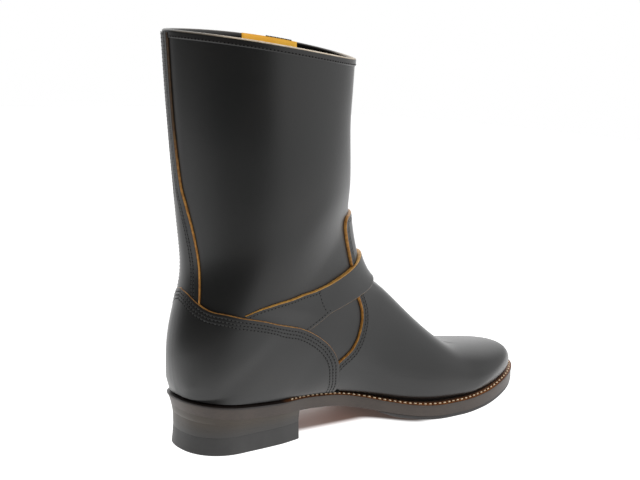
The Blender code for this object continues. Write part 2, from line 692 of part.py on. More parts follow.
def welt():
    """The welt, a ring between upper and outsole all round the boot."""
    rings = []
    for inset in (0.0, WELT_INNER_EDGE):
        x = sole_stations(inset, SOLE_LENGTH - inset)
        inner, outer = outline(x, inset, -1), outline(x, inset, 1)
        loop = np.concatenate([np.stack([x, inner], -1), np.stack([x, outer], -1)[::-1][1:]])
        rings.append(np.column_stack([loop, feather_height(loop[:, 0]) - SEAM]))
    top = np.stack(rings, axis=1)
    loft_solid("welt", [(top, top - (0, 0, WELT))], "welt_leather")


def outsole_under(x):
    """Height of the outsole's underside."""
    return feather_height(x) - 2 * SEAM - WELT - OUTSOLE


def outsole():
    """The full leather sole, undercut behind."""
    grids = []
    for rise in (OUTSOLE, 0.0):
        back = float(heel_inset("back", outsole_under(0.0) + rise))
        x = sole_stations(back, SOLE_LENGTH - EDGE_STEP)
        grids.append(plate_grid(x, EDGE_STEP, outsole_under(x) + rise, back))
    loft_solid("outsole", [tuple(grids)], "sole_leather")


def half_sole():
    """The thin rubber half sole, skived at its rear edge and flat under the ball."""
    inset = 2 * EDGE_STEP
    end = SOLE_LENGTH - inset
    x = HALF_SOLE_START + (end - HALF_SOLE_START) * np.sin(np.linspace(0, np.pi / 2, LOOP_POINTS))
    thick = HALF_SOLE_SKIVE + (HALF_SOLE - HALF_SOLE_SKIVE) * ease((x - HALF_SOLE_START) / 12.0)
    top = outsole_under(x) - SEAM
    loft_solid("half_sole", [(plate_grid(x, inset, top), plate_grid(x, inset, top - thick))], "rubber")


def heel_inset(edge, height):
    """How far the heel's side or back stands in from the sole's edge at a height."""
    return smooth(HEEL_TABLE["height"], HEEL_TABLE[edge], height)


def heel_grid(share):
    """The heel's outline at a share of the height from the top piece (0) to the outsole (1)."""
    floor = HEEL_TOP_PIECE + SEAM
    level = floor + share * (outsole_under(0.0) - SEAM - floor)
    side, back = float(heel_inset("side", level)), float(heel_inset("back", level))
    x = heel_stations(back)
    return plate_grid(x, side, floor + share * (outsole_under(x) - SEAM - floor), back)


def heel_stations(back):
    """x of the heel's cross lines, from its round back to its flat breast."""
    return back + (HEEL_LENGTH - back) * (1 - np.cos(np.linspace(0, np.pi / 2, 18)))


def heel():
    """The stacked heel: leather lifts that share its wedge, and the rubber top piece."""
    gap = SEAM / 5
    for i in range(HEEL_LIFTS):
        grids = heel_grid((i + 1) / HEEL_LIFTS), heel_grid((i + gap) / HEEL_LIFTS)
        loft_solid("heel_lift_%d" % (i + 1), [grids], "sole_leather")
    grids = []
    for level in (HEEL_TOP_PIECE, 0.0):
        side, back = float(heel_inset("side", level)), float(heel_inset("back", level))
        x = heel_stations(back)
        grids.append(plate_grid(x, side, level + 0 * x, back))
    loft_solid("heel_top_piece", [tuple(grids)], "rubber")


def stand_on_origin():
    """Move the pieces so that the origin is on the floor under the middle of the boot."""
    pieces = list(bpy.data.collections[BOOT].objects)
    corners = np.array([vertex.co for piece in pieces for vertex in piece.data.vertices])
    low, high = corners.min(0), corners.max(0)
    shift = np.array([(low[0] + high[0]) / 2, (low[1] + high[1]) / 2, low[2]])
    for piece in pieces:
        for vertex in piece.data.vertices:
            vertex.co = np.array(vertex.co) - shift


def main():
    """Build every piece of the boot in an empty scene."""
    for old in list(bpy.data.objects):
        bpy.data.objects.remove(old)
    bpy.context.scene.collection.children.link(bpy.data.collections.new(BOOT))
    for build in (upper, vamp, counter, backstay, strap, buckle, collar_binding, collar_patch,
                  insole, welt, outsole, half_sole, heel):
        build()
    stand_on_origin()


main()
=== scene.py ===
"""Looks of a left engineer boot: leather panels, seams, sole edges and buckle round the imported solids.

Lengths are millimetres along the last, as in the part's own source: x runs from the back of the sole to
the toe, y to the outer side of the foot and z up from the floor. A place on the upper is (u, q): u counts
sections from toe (0) to collar, and q runs round a section from the inner side's lower end (-1) over the
ridge of the foot or the shin (0) to the outer side's lower end (1). Above the heel a section is closed, so
there q runs on past 1 to the inner side again.
"""
from __future__ import annotations

import logging
import math
from dataclasses import dataclass, field
from enum import Enum
from typing import Callable, Sequence, Union

import bmesh
import bpy
import numpy as np
from mathutils import Matrix, Vector

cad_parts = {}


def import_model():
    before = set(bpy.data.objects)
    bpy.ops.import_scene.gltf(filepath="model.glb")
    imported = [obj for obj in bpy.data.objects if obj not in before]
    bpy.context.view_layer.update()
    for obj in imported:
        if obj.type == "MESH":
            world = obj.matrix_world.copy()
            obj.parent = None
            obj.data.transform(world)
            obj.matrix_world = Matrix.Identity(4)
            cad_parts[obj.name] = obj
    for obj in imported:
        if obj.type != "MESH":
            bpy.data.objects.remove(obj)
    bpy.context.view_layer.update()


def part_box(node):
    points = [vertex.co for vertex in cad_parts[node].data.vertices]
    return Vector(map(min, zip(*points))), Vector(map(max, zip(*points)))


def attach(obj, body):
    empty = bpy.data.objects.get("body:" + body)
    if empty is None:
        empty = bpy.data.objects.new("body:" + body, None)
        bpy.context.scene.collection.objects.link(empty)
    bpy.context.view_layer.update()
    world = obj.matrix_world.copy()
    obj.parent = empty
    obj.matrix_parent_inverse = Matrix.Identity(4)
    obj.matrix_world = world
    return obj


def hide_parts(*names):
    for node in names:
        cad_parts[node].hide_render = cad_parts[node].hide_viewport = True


Array = np.ndarray
Colour = tuple[float, float, float]
MM = 0.001
BODY = "root"
LOG = logging.getLogger("engineer_boot")


class Slot(Enum):
    """The record's material slots."""

    BLACK = "black_leather"
    TAN = "tan_leather"
    INSOLE = "insole_leather"
    WELT = "welt_leather"
    SOLE = "sole_leather"
    RUBBER = "rubber"
    NICKEL = "nickel"


class Mark(Enum):
    """Values kept at a mesh's points for its finish to read."""

    RAW = "raw"
    EDGE = "edge_mm"


def monotone(knots: Array, values: Array, at: Array) -> Array:
    """A curve through the knots that never overshoots them.

    Args:
        knots: Places of the knots, rising.
        values: Values at the knots.
        at: Places to read.

    Returns:
        The curve's values at those places.
    """
    step = np.diff(knots)
    slope = np.diff(values) / step
    before, after = slope[:-1], slope[1:]
    one_way = before * after > 0
    near, far = 2 * step[1:] + step[:-1], step[1:] + 2 * step[:-1]
    safe_before = np.where(one_way, before, 1.0)
    safe_after = np.where(one_way, after, 1.0)
    mean = (near + far) / (near / safe_before + far / safe_after)
    tangent = np.concatenate([[slope[0]], np.where(one_way, mean, 0.0), [slope[-1]]])
    at = np.clip(np.asarray(at, float), knots[0], knots[-1])
    k = np.clip(np.searchsorted(knots, at, side="right") - 1, 0, len(step) - 1)
    t = (at - knots[k]) / step[k]
    return ((2 * t**3 - 3 * t**2 + 1) * values[k] + (t**3 - 2 * t**2 + t) * step[k] * tangent[k]
            + (3 * t**2 - 2 * t**3) * values[k + 1] + (t**3 - t**2) * step[k] * tangent[k + 1])


def ease(t: Array) -> Array:
    """A soft step from 0 to 1."""
    t = np.clip(t, 0.0, 1.0)
    return t * t * (3 - 2 * t)


def from_end(count: int) -> Array:
    """How many steps each of a row of places is from the nearer end."""
    return np.minimum(np.arange(count), np.arange(count)[::-1])


def run_along(points: Array) -> Array:
    """Distance along a line at each of its points."""
    return np.concatenate([[0], np.cumsum(np.linalg.norm(np.diff(points, axis=0), axis=1))])


def unit(vectors: Array) -> Array:
    """Vectors made one long."""
    return vectors / np.maximum(np.linalg.norm(vectors, axis=-1, keepdims=True), 1e-9)


def lookup(values: Array, row: Array, column: Array) -> Array:
    """Catmull-Rom interpolation in a table of points.

    Args:
        values: The table, rows by columns by coordinates.
        row: Fractional rows to read.
        column: Fractional columns to read.

    Returns:
        The points read.
    """
    padded = np.pad(values, ((1, 1), (1, 1), (0, 0)), mode="reflect", reflect_type="odd")
    i = np.clip(np.floor(row).astype(int), 0, values.shape[0] - 2)
    j = np.clip(np.floor(column).astype(int), 0, values.shape[1] - 2)
    weights = []
    for t in (row - i, column - j):
        weights.append((-t + 2 * t**2 - t**3, 2 - 5 * t**2 + 3 * t**3, t + 4 * t**2 - 3 * t**3, t**3 - t**2))
    total = 0.0
    for a in range(4):
        for b in range(4):
            total = total + (weights[0][a] * weights[1][b] / 4)[..., None] * padded[i + a, j + b]
    return total


@dataclass(frozen=True)
class Table:
    """Rows of numbers with named columns."""

    columns: tuple[str, ...]
    rows: tuple[tuple[float, ...], ...]

    def column(self, name: str) -> Array:
        """One column as an array."""
        return np.array([row[self.columns.index(name)] for row in self.rows], float)

    def read(self, name: str, at: Array) -> Array:
        """A column's smooth curve over the first column, read at places."""
        return monotone(self.column(self.columns[0]), self.column(name), at)


@dataclass(frozen=True)
class SoleShape:
    """Outline and heights of the sole, which welt, outsole, half sole, insole and heel share."""

    length: float = 297.5
    heel_length: float = 87.0
    heel_centre_x: float = 34.0
    ball_x: float = 223.0
    heel_round: float = 2.25
    toe_round: float = 1.85
    toe_shift: float = -4.0
    welt: float = 3.0
    outsole: float = 7.2
    half_sole: float = 2.4
    half_sole_start: float = 156.0
    half_sole_skive: float = 0.8
    top_piece: float = 12.8
    edge_step: float = 0.5
    seam: float = 0.3
    frame_stations: int = 30
    sides: Table = Table(("x", "inner", "outer"), (
        (34.0, 35.3, 35.3), (68.5, 33.0, 35.4), (98.0, 26.9, 36.0), (127.0, 25.2, 38.5),
        (161.0, 34.9, 44.0), (196.0, 44.5, 50.0), (210.0, 46.2, 51.3), (223.0, 45.8, 51.0)))
    feather: Table = Table(("x", "height", "ledge"), (
        (0.0, 40.8, 4.0), (40.0, 35.6, 4.0), (70.0, 33.4, 4.0), (90.0, 32.4, 4.0), (117.0, 30.0, 4.0),
        (140.0, 25.6, 4.5), (161.0, 20.2, 5.0), (180.0, 15.9, 5.5), (196.0, 13.9, 6.0),
        (204.0, 13.5, 6.0), (222.0, 13.5, 6.0), (245.0, 15.2, 6.0), (274.0, 20.8, 6.0), (297.5, 26.8, 6.0)))
    heel_sides: Table = Table(("height", "side", "back"), (
        (0.0, 1.6, 3.4), (12.8, 2.0, 4.8), (21.0, 1.7, 4.8), (29.5, 1.0, 3.6), (37.0, 0.5, 1.0)))

    def height(self, x: Array) -> Array:
        """Height of the upper's lower edge at x."""
        return self.feather.read("height", x)

    def ledge(self, x: Array) -> Array:
        """How far the upper's lower edge stands in from the sole's edge at x."""
        return self.feather.read("ledge", x)

    def under(self, x: Array) -> Array:
        """Height of the outsole's underside at x."""
        return self.height(x) - 2 * self.seam - self.welt - self.outsole

    def outline(self, x: Array, inset: Array, side: int, back: Union[float, None] = None) -> Array:
        """The sole's edge.

        Args:
            x: Places along the sole.
            inset: How far the edge is set in.
            side: -1 for the inner side, 1 for the outer side.
            back: Another inset for the back, if it has one.

        Returns:
            The edge's y at each x.
        """
        x = np.asarray(x, float)
        inset = np.asarray(inset, float) + 0 * x
        back = inset if back is None else back
        within = np.clip(x, self.heel_centre_x, self.ball_x)
        half = self.sides.read("inner" if side < 0 else "outer", within) - inset
        behind = np.clip((self.heel_centre_x - x) / (self.heel_centre_x - back), 0, 1)
        ahead = np.clip((x - self.ball_x) / (self.length - inset - self.ball_x), 0, 1)
        half = half * (1 - behind**self.heel_round) ** (1 / self.heel_round)
        half = half * (1 - ahead**self.toe_round) ** (1 / self.toe_round)
        return side * half + self.toe_shift * ahead**2

    def stations(self, first: float, last: float, count: int, round_end: bool = True) -> Array:
        """x of a plate's cross lines, closer where its ends are round.

        Args:
            first: The plate's back.
            last: The plate's front.
            count: How many lines.
            round_end: Whether the front is round too.

        Returns:
            The lines' x.
        """
        turn = np.linspace(0, np.pi if round_end else np.pi / 2, count)
        return first + (last - first) * (1 - np.cos(turn)) / (2 if round_end else 1)

    def loop(self, x: Array, inset: float, height: Array, back: Union[float, None] = None) -> Array:
        """A closed loop round a plate.

        Args:
            x: Its cross lines.
            inset: How far it is set in from the sole's edge.
            height: Its height at each x.
            back: Another inset for the back, if it has one.

        Returns:
            Points up the inner side and down the outer side.
        """
        sides = [np.stack([x, self.outline(x, inset, side, back), height + 0 * x], -1) for side in (-1, 1)]
        return np.concatenate([sides[0], sides[1][::-1]])

    def heel_inset(self, edge: str, height: float) -> float:
        """How far the heel's side or back stands in from the sole's edge at a height."""
        return float(self.heel_sides.read(edge, height))

    def outer_reach(self) -> float:
        """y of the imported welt's outermost corner."""
        x = self.stations(0.0, self.length, self.frame_stations)
        return float(self.outline(x, 0.0, 1).max())


@dataclass(frozen=True)
class Crease:
    """A soft trough, or a ridge where its depth is negative, between two places on the upper."""

    start: tuple[float, float]
    end: tuple[float, float]
    depth: float
    width: float


@dataclass
class LastForm:
    """The upper's outer surface over the last: a table of points with their outward directions."""

    sole: SoleShape
    toe_fan: int = 4
    sub_rows: int = 10
    half_columns: int = 48
    relax_steps: int = 12
    heel_relax_steps: int = 60
    back_rounding: int = 5
    mitre: float = 0.5
    collar_lean: tuple[float, float] = (-0.05, 0.11)
    collar_crown: float = 2.0
    collar_length: float = 140.0
    collar_rows: float = 2.0
    section_steps: int = 60
    lean_from: float = 0.3
    toe_seat_rows: float = 2.0
    heel_reach: tuple[float, float] = (1.2, 2.0)
    round_steps: int = 6
    round_shares: tuple[float, float] = (0.5, -0.52)
    seam_rows: float = 0.8
    seam_from: float = 0.75
    seam_soft: float = 0.15
    row_step: float = 20.0
    heel_row_step: float = 30.0
    tuck_depth: tuple[float, float] = (0.3, 1.9)
    tuck_ends: tuple[float, float] = (60.0, 130.0)
    tuck_height: float = 3.4
    place_step: float = 0.02
    foot: Table = Table(
        ("base_x", "top_x", "top_z", "inner", "outer", "wide_at", "round_low", "round_top", "top_y"), (
            (223.0, 291.0, 26.0, 39.8, 45.0, 0.02, 2.0, 1.85, -4.0),
            (223.0, 291.6, 31.5, 40.8, 45.9, 0.10, 2.0, 1.90, -4.0),
            (223.0, 283.5, 39.5, 42.6, 47.0, 0.25, 2.0, 2.00, -4.0),
            (223.0, 257.5, 42.8, 43.8, 47.8, 0.36, 2.0, 2.15, -3.5),
            (223.0, 231.0, 46.5, 44.0, 48.0, 0.32, 2.0, 2.25, -3.0),
            (200.0, 211.5, 59.0, 43.0, 47.5, 0.29, 2.0, 2.15, -4.0),
            (165.0, 190.0, 79.0, 37.5, 43.5, 0.28, 2.0, 2.05, -4.0),
            (130.0, 172.0, 97.0, 34.0, 40.0, 0.32, 2.0, 2.00, -3.0),
            (95.0, 157.0, 110.0, 35.0, 39.0, 0.37, 2.0, 2.00, -2.0),
            (56.0, 147.6, 130.3, 36.5, 38.5, 0.42, 2.1, 2.00, -1.0),
            (25.0, 144.2, 150.5, 37.5, 38.5, 0.45, 2.2, 2.00, 0.0),
            (9.0, 143.0, 160.0, 38.2, 39.0, 0.47, 2.35, 2.00, 0.0),
            (4.0, 142.0, 167.0, 38.5, 39.3, 0.48, 2.48, 2.00, 0.0)))
    shaft: Table = Table(
        ("back_x", "back_z", "front_x", "front_z", "half", "round_back", "round_front", "twist"), (
            (-3.0, 70.0, 141.2, 174.0, 39.8, 2.20, 2.00, 2.5),
            (13.0, 119.0, 139.8, 185.0, 42.8, 1.85, 2.05, 6.5),
            (9.8, 165.0, 138.2, 203.0, 45.5, 1.70, 2.10, 10.0),
            (6.0, 213.0, 136.8, 227.0, 47.8, 1.65, 2.10, 12.5),
            (3.0, 256.0, 138.2, 251.0, 48.6, 1.65, 2.10, 13.0),
            (0.6, 296.2, 139.6, 273.6, 49.0, 1.65, 2.10, 13.0)))
    creases: tuple[Crease, ...] = ()

    def __post_init__(self) -> None:
        """Work out the table of points and directions."""
        self.heel_back = len(self.foot.rows) - 1
        self.collar = len(self.foot.rows) + len(self.shaft.rows) - 1
        keys = self.section_rows()
        u = np.linspace(0, self.collar, self.collar * self.sub_rows + 1)
        knots = np.arange(len(keys), dtype=float)
        columns = {name: monotone(knots, np.array([row[name] for row in keys]), u) for name in keys[0]}
        on_sole = u <= self.heel_back
        base_x = columns["base_x"]
        columns["base_z"] = np.where(on_sole, self.sole.height(base_x), columns["base_z"])
        for name, side in (("base_inner", -1), ("base_outer", 1)):
            edge = side * self.sole.outline(base_x, self.sole.ledge(base_x), side)
            columns[name] = np.where(on_sole, edge, 0.0)
        rows = [{name: column[i] for name, column in columns.items()} for i in range(len(u))]
        self.points = np.array([self.section_points(row) for row in rows])
        self.seat_toe(u)
        self.relax(u)
        self.soften_sections()
        forward = np.clip(self.points[:, :, 0] / self.collar_length, 0, 1)
        lean = (self.collar_lean[0] + self.collar_lean[1] * forward) * self.points[:, :, 1]
        crown = self.collar_crown * 4 * forward * (1 - forward)
        near_collar = ease(1 - (self.collar - u) / self.collar_rows)
        self.points[:, :, 2] += (lean + crown) * near_collar[:, None]
        self.round_back_seam(u)
        self.from_toe = np.linalg.norm(self.points - self.points[:1], axis=2)[..., None]
        self.out = self.outward(u >= self.heel_back)
        steps = np.linalg.norm(np.diff(self.points, axis=1), axis=2)
        self.half_run = steps[:, : self.half_columns].sum(1)

    def section_rows(self) -> list[dict[str, float]]:
        """Every section's values, in order from toe to collar.

        Returns:
            A dict of values for each section.
        """
        rows = []
        for values in self.foot.rows:
            row = dict(zip(self.foot.columns, values))
            x = row["base_x"]
            ledge = self.sole.ledge(x)
            row.update(base_z=float(self.sole.height(x)), twist=0.0)
            row.update(base_inner=-float(self.sole.outline(x, ledge, -1)),
                       base_outer=float(self.sole.outline(x, ledge, 1)))
            rows.append(row)
        for values in self.shaft.rows:
            row = dict(zip(self.shaft.columns, values))
            rows.append(dict(base_x=row["back_x"], base_z=row["back_z"], top_x=row["front_x"],
                             top_z=row["front_z"], inner=row["half"], outer=row["half"], wide_at=0.5,
                             round_low=row["round_back"], round_top=row["round_front"], top_y=0.0,
                             twist=row["twist"], base_inner=0.0, base_outer=0.0))
        return rows

    def half_section(self, length: float, base: float, wide: float,
                     row: dict[str, float]) -> tuple[Array, Array]:
        """One side of a section.

        Args:
            length: Length of the section from base to ridge.
            base: Half width at its base.
            wide: Largest half width.
            row: The section's values.

        Returns:
            Distances up the section, and half widths there.
        """
        turn = np.linspace(0, np.pi / 2, self.section_steps)
        low, top, wide_at = row["round_low"], row["round_top"], row["wide_at"]
        low_up = wide_at * length * (1 - np.cos(turn) ** (2 / low))
        tucked = np.sin(turn) ** (2 / low)
        leaning = 1 - (1 - low_up / low_up[-1]) ** 2
        share = ease(2 * (base / wide - self.lean_from))
        low_half = base + (wide - base) * (tucked + (leaning - tucked) * share)
        top_up = wide_at * length + (1 - wide_at) * length * np.sin(turn) ** (2 / top)
        top_half = wide * np.cos(turn) ** (2 / top)
        return np.concatenate([low_up, top_up[1:]]), np.concatenate([low_half, top_half[1:]])

    def section_points(self, row: dict[str, float]) -> Array:
        """A section's points from the inner side's lower end over the ridge to the outer side's.

        Args:
            row: The section's values.

        Returns:
            The points, evenly spaced along each side.
        """
        base = np.array([row["base_x"], row["base_z"]])
        top = np.array([row["top_x"], row["top_z"]])
        length = np.linalg.norm(top - base)
        along = (top - base) / length
        halves = []
        for side, name in ((-1, "inner"), (1, "outer")):
            up, half = self.half_section(length, row["base_" + name], row[name], row)
            run = np.concatenate([[0], np.cumsum(np.hypot(np.diff(up), np.diff(half)))])
            even = np.linspace(0, run[-1], self.half_columns + 1)
            up, half = np.interp(even, run, up), np.interp(even, run, half)
            x, z = (base[k] + along[k] * up for k in (0, 1))
            halves.append(np.stack([x, row["top_y"] * up / length + side * half, z], -1))
        points = np.concatenate([halves[0], halves[1][::-1][1:]])
        turn = np.radians(-row["twist"])
        centre = (base[0] + top[0]) / 2
        x, y = points[:, 0] - centre, points[:, 1].copy()
        points[:, 0] = centre + x * np.cos(turn) - y * np.sin(turn)
        points[:, 1] = x * np.sin(turn) + y * np.cos(turn)
        return points

    def seat_toe(self, u: Array) -> None:
        """Bring the toe's lower edge down on to the sole's curve."""
        drop = self.points[0, :, 2] - self.sole.height(self.points[0, :, 0])
        self.points[:, :, 2] -= drop[None, :] * (np.clip(1 - u / self.toe_seat_rows, 0, 1) ** 2)[:, None]

    def relax(self, u: Array) -> None:
        """Ease the change from section to section, but keep the lower edge and the collar.

        Args:
            u: The section that each row of points is at.
        """
        edge = self.points[u <= self.heel_back][:, [0, -1]].copy()
        full, rows = self.heel_reach
        near_heel = ease(full - np.abs(u - self.heel_back) / rows)[1:-1, None, None]
        for step in range(self.relax_steps + self.heel_relax_steps):
            softer = (self.points[:-2] - 2 * self.points[1:-1] + self.points[2:]) / 4
            self.points[1:-1] += softer * (1.0 if step < self.relax_steps else near_heel)
            self.points[: len(edge), [0, -1]] = edge

    def soften_sections(self) -> None:
        """Even out the bend of each section without drawing it in."""
        for step in range(2 * self.round_steps):
            bend = (self.points[:, :-2] + self.points[:, 2:]) / 2 - self.points[:, 1:-1]
            self.points[:, 1:-1] += self.round_shares[step % 2] * bend

    def round_back_seam(self, u: Array) -> None:
        """Round the fold that the back seam makes in each closed section.

        Args:
            u: The section that each row of points is at.
        """
        closed = u >= self.heel_back
        around = np.abs(np.linspace(-1, 1, self.points.shape[1]))[:-1]
        share = ease((u[closed] - self.heel_back) / self.seam_rows)[:, None]
        share = share * ease((around - self.seam_from) / self.seam_soft)[None, :]
        for _ in range(self.back_rounding):
            ring = self.points[closed][:, :-1]
            softer = (np.roll(ring, 1, axis=1) - 2 * ring + np.roll(ring, -1, axis=1)) / 4
            ring = ring + share[..., None] * softer
            self.points[closed] = np.concatenate([ring, ring[:, :1]], axis=1)

    def outward(self, closed: Array) -> Array:
        """Directions out of the surface, laid along the welt at the lower edge.

        Args:
            closed: Which rows of points are closed sections.

        Returns:
            A direction for each point.
        """
        along, across = np.gradient(self.points, axis=0), np.gradient(self.points, axis=1)
        out = np.cross(across, along)
        for edge, inside in ((0, 1), (-1, -2)):
            flat = np.linalg.norm(out[:, edge], axis=1) < 1e-6
            out[flat, edge] = out[flat, inside]
        out /= np.linalg.norm(out, axis=2, keepdims=True)
        out[closed, 0] = out[closed, -1] = unit(out[closed, 0] + out[closed, -1])
        lower_edge = np.zeros(out.shape[:2], bool)
        lower_edge[~closed, 0] = lower_edge[~closed, -1] = lower_edge[0] = True
        level = out[lower_edge] * (1, 1, 0)
        level /= np.maximum((level**2).sum(1, keepdims=True), self.mitre)
        x = self.points[lower_edge][:, 0]
        level[:, 2] = (self.sole.height(x + 1) - self.sole.height(x - 1)) / 2 * level[:, 0]
        out[lower_edge] = level
        for edge in (0, -1):
            out[: self.toe_fan * self.sub_rows, edge] = out[self.toe_fan * self.sub_rows, edge]
        return out

    def relief(self, u: Array, q: Array) -> Array:
        """Depth of the creases at places, in millimetres along the outward direction.

        Args:
            u: Sections.
            q: Places round them.

        Returns:
            The depths, below zero in a trough.
        """
        total = 0.0 * u
        run = self.run(u)
        for crease in self.creases:
            du, dq = crease.end[0] - crease.start[0], crease.end[1] - crease.start[1]
            scale = np.array([self.row_step, float(self.run(np.array(crease.start[0])))])
            line = np.array([du, dq]) * scale
            rel_u, rel_q = (u - crease.start[0]) * scale[0], (q - crease.start[1]) * run
            t = (rel_u * line[0] + rel_q * line[1]) / (line @ line)
            off = np.abs(rel_u * line[1] - rel_q * line[0]) / np.linalg.norm(line)
            ends = ease(2 * t) * ease(2 - 2 * t)
            total = total - crease.depth * np.exp(-((off / crease.width) ** 2)) * ends
        return total

    def tuck(self, u: Array, q: Array) -> Array:
        """How far the leather draws in just above the welt.

        Args:
            u: Sections.
            q: Places round them.

        Returns:
            The depths in millimetres.
        """
        above = (1 - np.abs(q)) * self.run(u) + self.heel_row_step * np.maximum(u - self.heel_back, 0)
        toe = lookup(self.from_toe, u * self.sub_rows, (q + 1) * self.half_columns)[..., 0]
        above = np.minimum(above, np.where(u < self.toe_fan, np.abs(toe), above))
        x = np.interp(u * self.sub_rows, np.arange(len(self.points)), self.points[:, 0, 0])
        x = np.where(u > self.heel_back, 0.0, x)
        (low, high), (first, last) = self.tuck_depth, self.tuck_ends
        depth = low + (high - low) * ease((x - first) / (last - first))
        return depth * np.exp(-((above / self.tuck_height) ** 2))

    def run(self, u: Array) -> Array:
        """Length of half a section at u."""
        return np.interp(u, np.arange(len(self.half_run)) / self.sub_rows, self.half_run)

    def at(self, u: Array, q: Array, offset: Union[float, Array] = 0.0) -> Array:
        """Points on or over the last.

        Args:
            u: Sections.
            q: Places round them.
            offset: How far out of the surface, in millimetres.

        Returns:
            The points, never below the sole's curve.
        """
        u, q = np.broadcast_arrays(np.asarray(u, float), np.asarray(q, float))
        q = np.where(q > 1, q - 2, np.where(q < -1, q + 2, q))
        row, column = u * self.sub_rows, (q + 1) * self.half_columns
        offset = np.asarray(offset, float) + self.relief(u, q) - self.tuck(u, q)
        points = lookup(self.points, row, column) + offset[..., None] * lookup(self.out, row, column)
        points[..., 2] = np.maximum(points[..., 2], self.sole.height(points[..., 0]))
        return points

    def normal(self, u: Array, q: Array) -> Array:
        """Outward directions at places."""
        return unit(self.at(u, q, 0.5) - self.at(u, q, -0.5))

    def steps_in(self, curve: Array, towards: Array) -> Array:
        """Steps of one millimetre square off a curve of places, along the surface.

        Args:
            curve: Places (u, q) along the curve.
            towards: Places on the side to step to.

        Returns:
            A step in (u, q) for each place of the curve.
        """
        u, q = curve[:, 0], curve[:, 1]
        points = self.at(u, q)
        inward = unit(np.cross(self.normal(u, q), unit(np.gradient(points, axis=0))))
        inward *= np.sign(((self.at(towards[:, 0], towards[:, 1]) - points) * inward).sum(1, keepdims=True))
        h = self.place_step
        open_below = u < self.heel_back
        q_low = np.where(open_below & (q > 1), np.maximum(q - h, 1 + 1e-9), q - h)
        q_high = np.where(open_below & (q <= 1), np.minimum(q + h, 1), q + h)
        by_u = (self.at(u + h, q) - self.at(u - h, q)) / (2 * h)
        by_q = (self.at(u, q_high) - self.at(u, q_low)) / (q_high - q_low)[:, None]
        a, b, c = (by_u**2).sum(1) + 1e-3, (by_u * by_q).sum(1), (by_q**2).sum(1) + 1e-3
        f, g = (by_u * inward).sum(1), (by_q * inward).sum(1)
        return np.stack([c * f - b * g, a * g - b * f], -1) / (a * c - b * b)[:, None]


def even_places(form: LastForm, places: Array, count: int = 0, spacing: float = 1.8) -> Array:
    """Places spread evenly along a line over the last.

    Args:
        form: The last.
        places: Close places (u, q) along the line.
        count: How many, or 0 to go by the spacing.
        spacing: About how far apart, in millimetres.

    Returns:
        The even places, with both ends kept.
    """
    points = form.at(places[:, 0], places[:, 1])
    run = run_along(points)
    even = np.linspace(0, run[-1], count or max(2, int(round(run[-1] / spacing)) + 1))
    return np.stack([np.interp(even, run, places[:, k]) for k in (0, 1)], -1)


Sheet = tuple[Array, Array, dict[Mark, tuple[Array, Array]]]
Seam = tuple[Array, Array]
Profile = Sequence[tuple[float, float, float]]


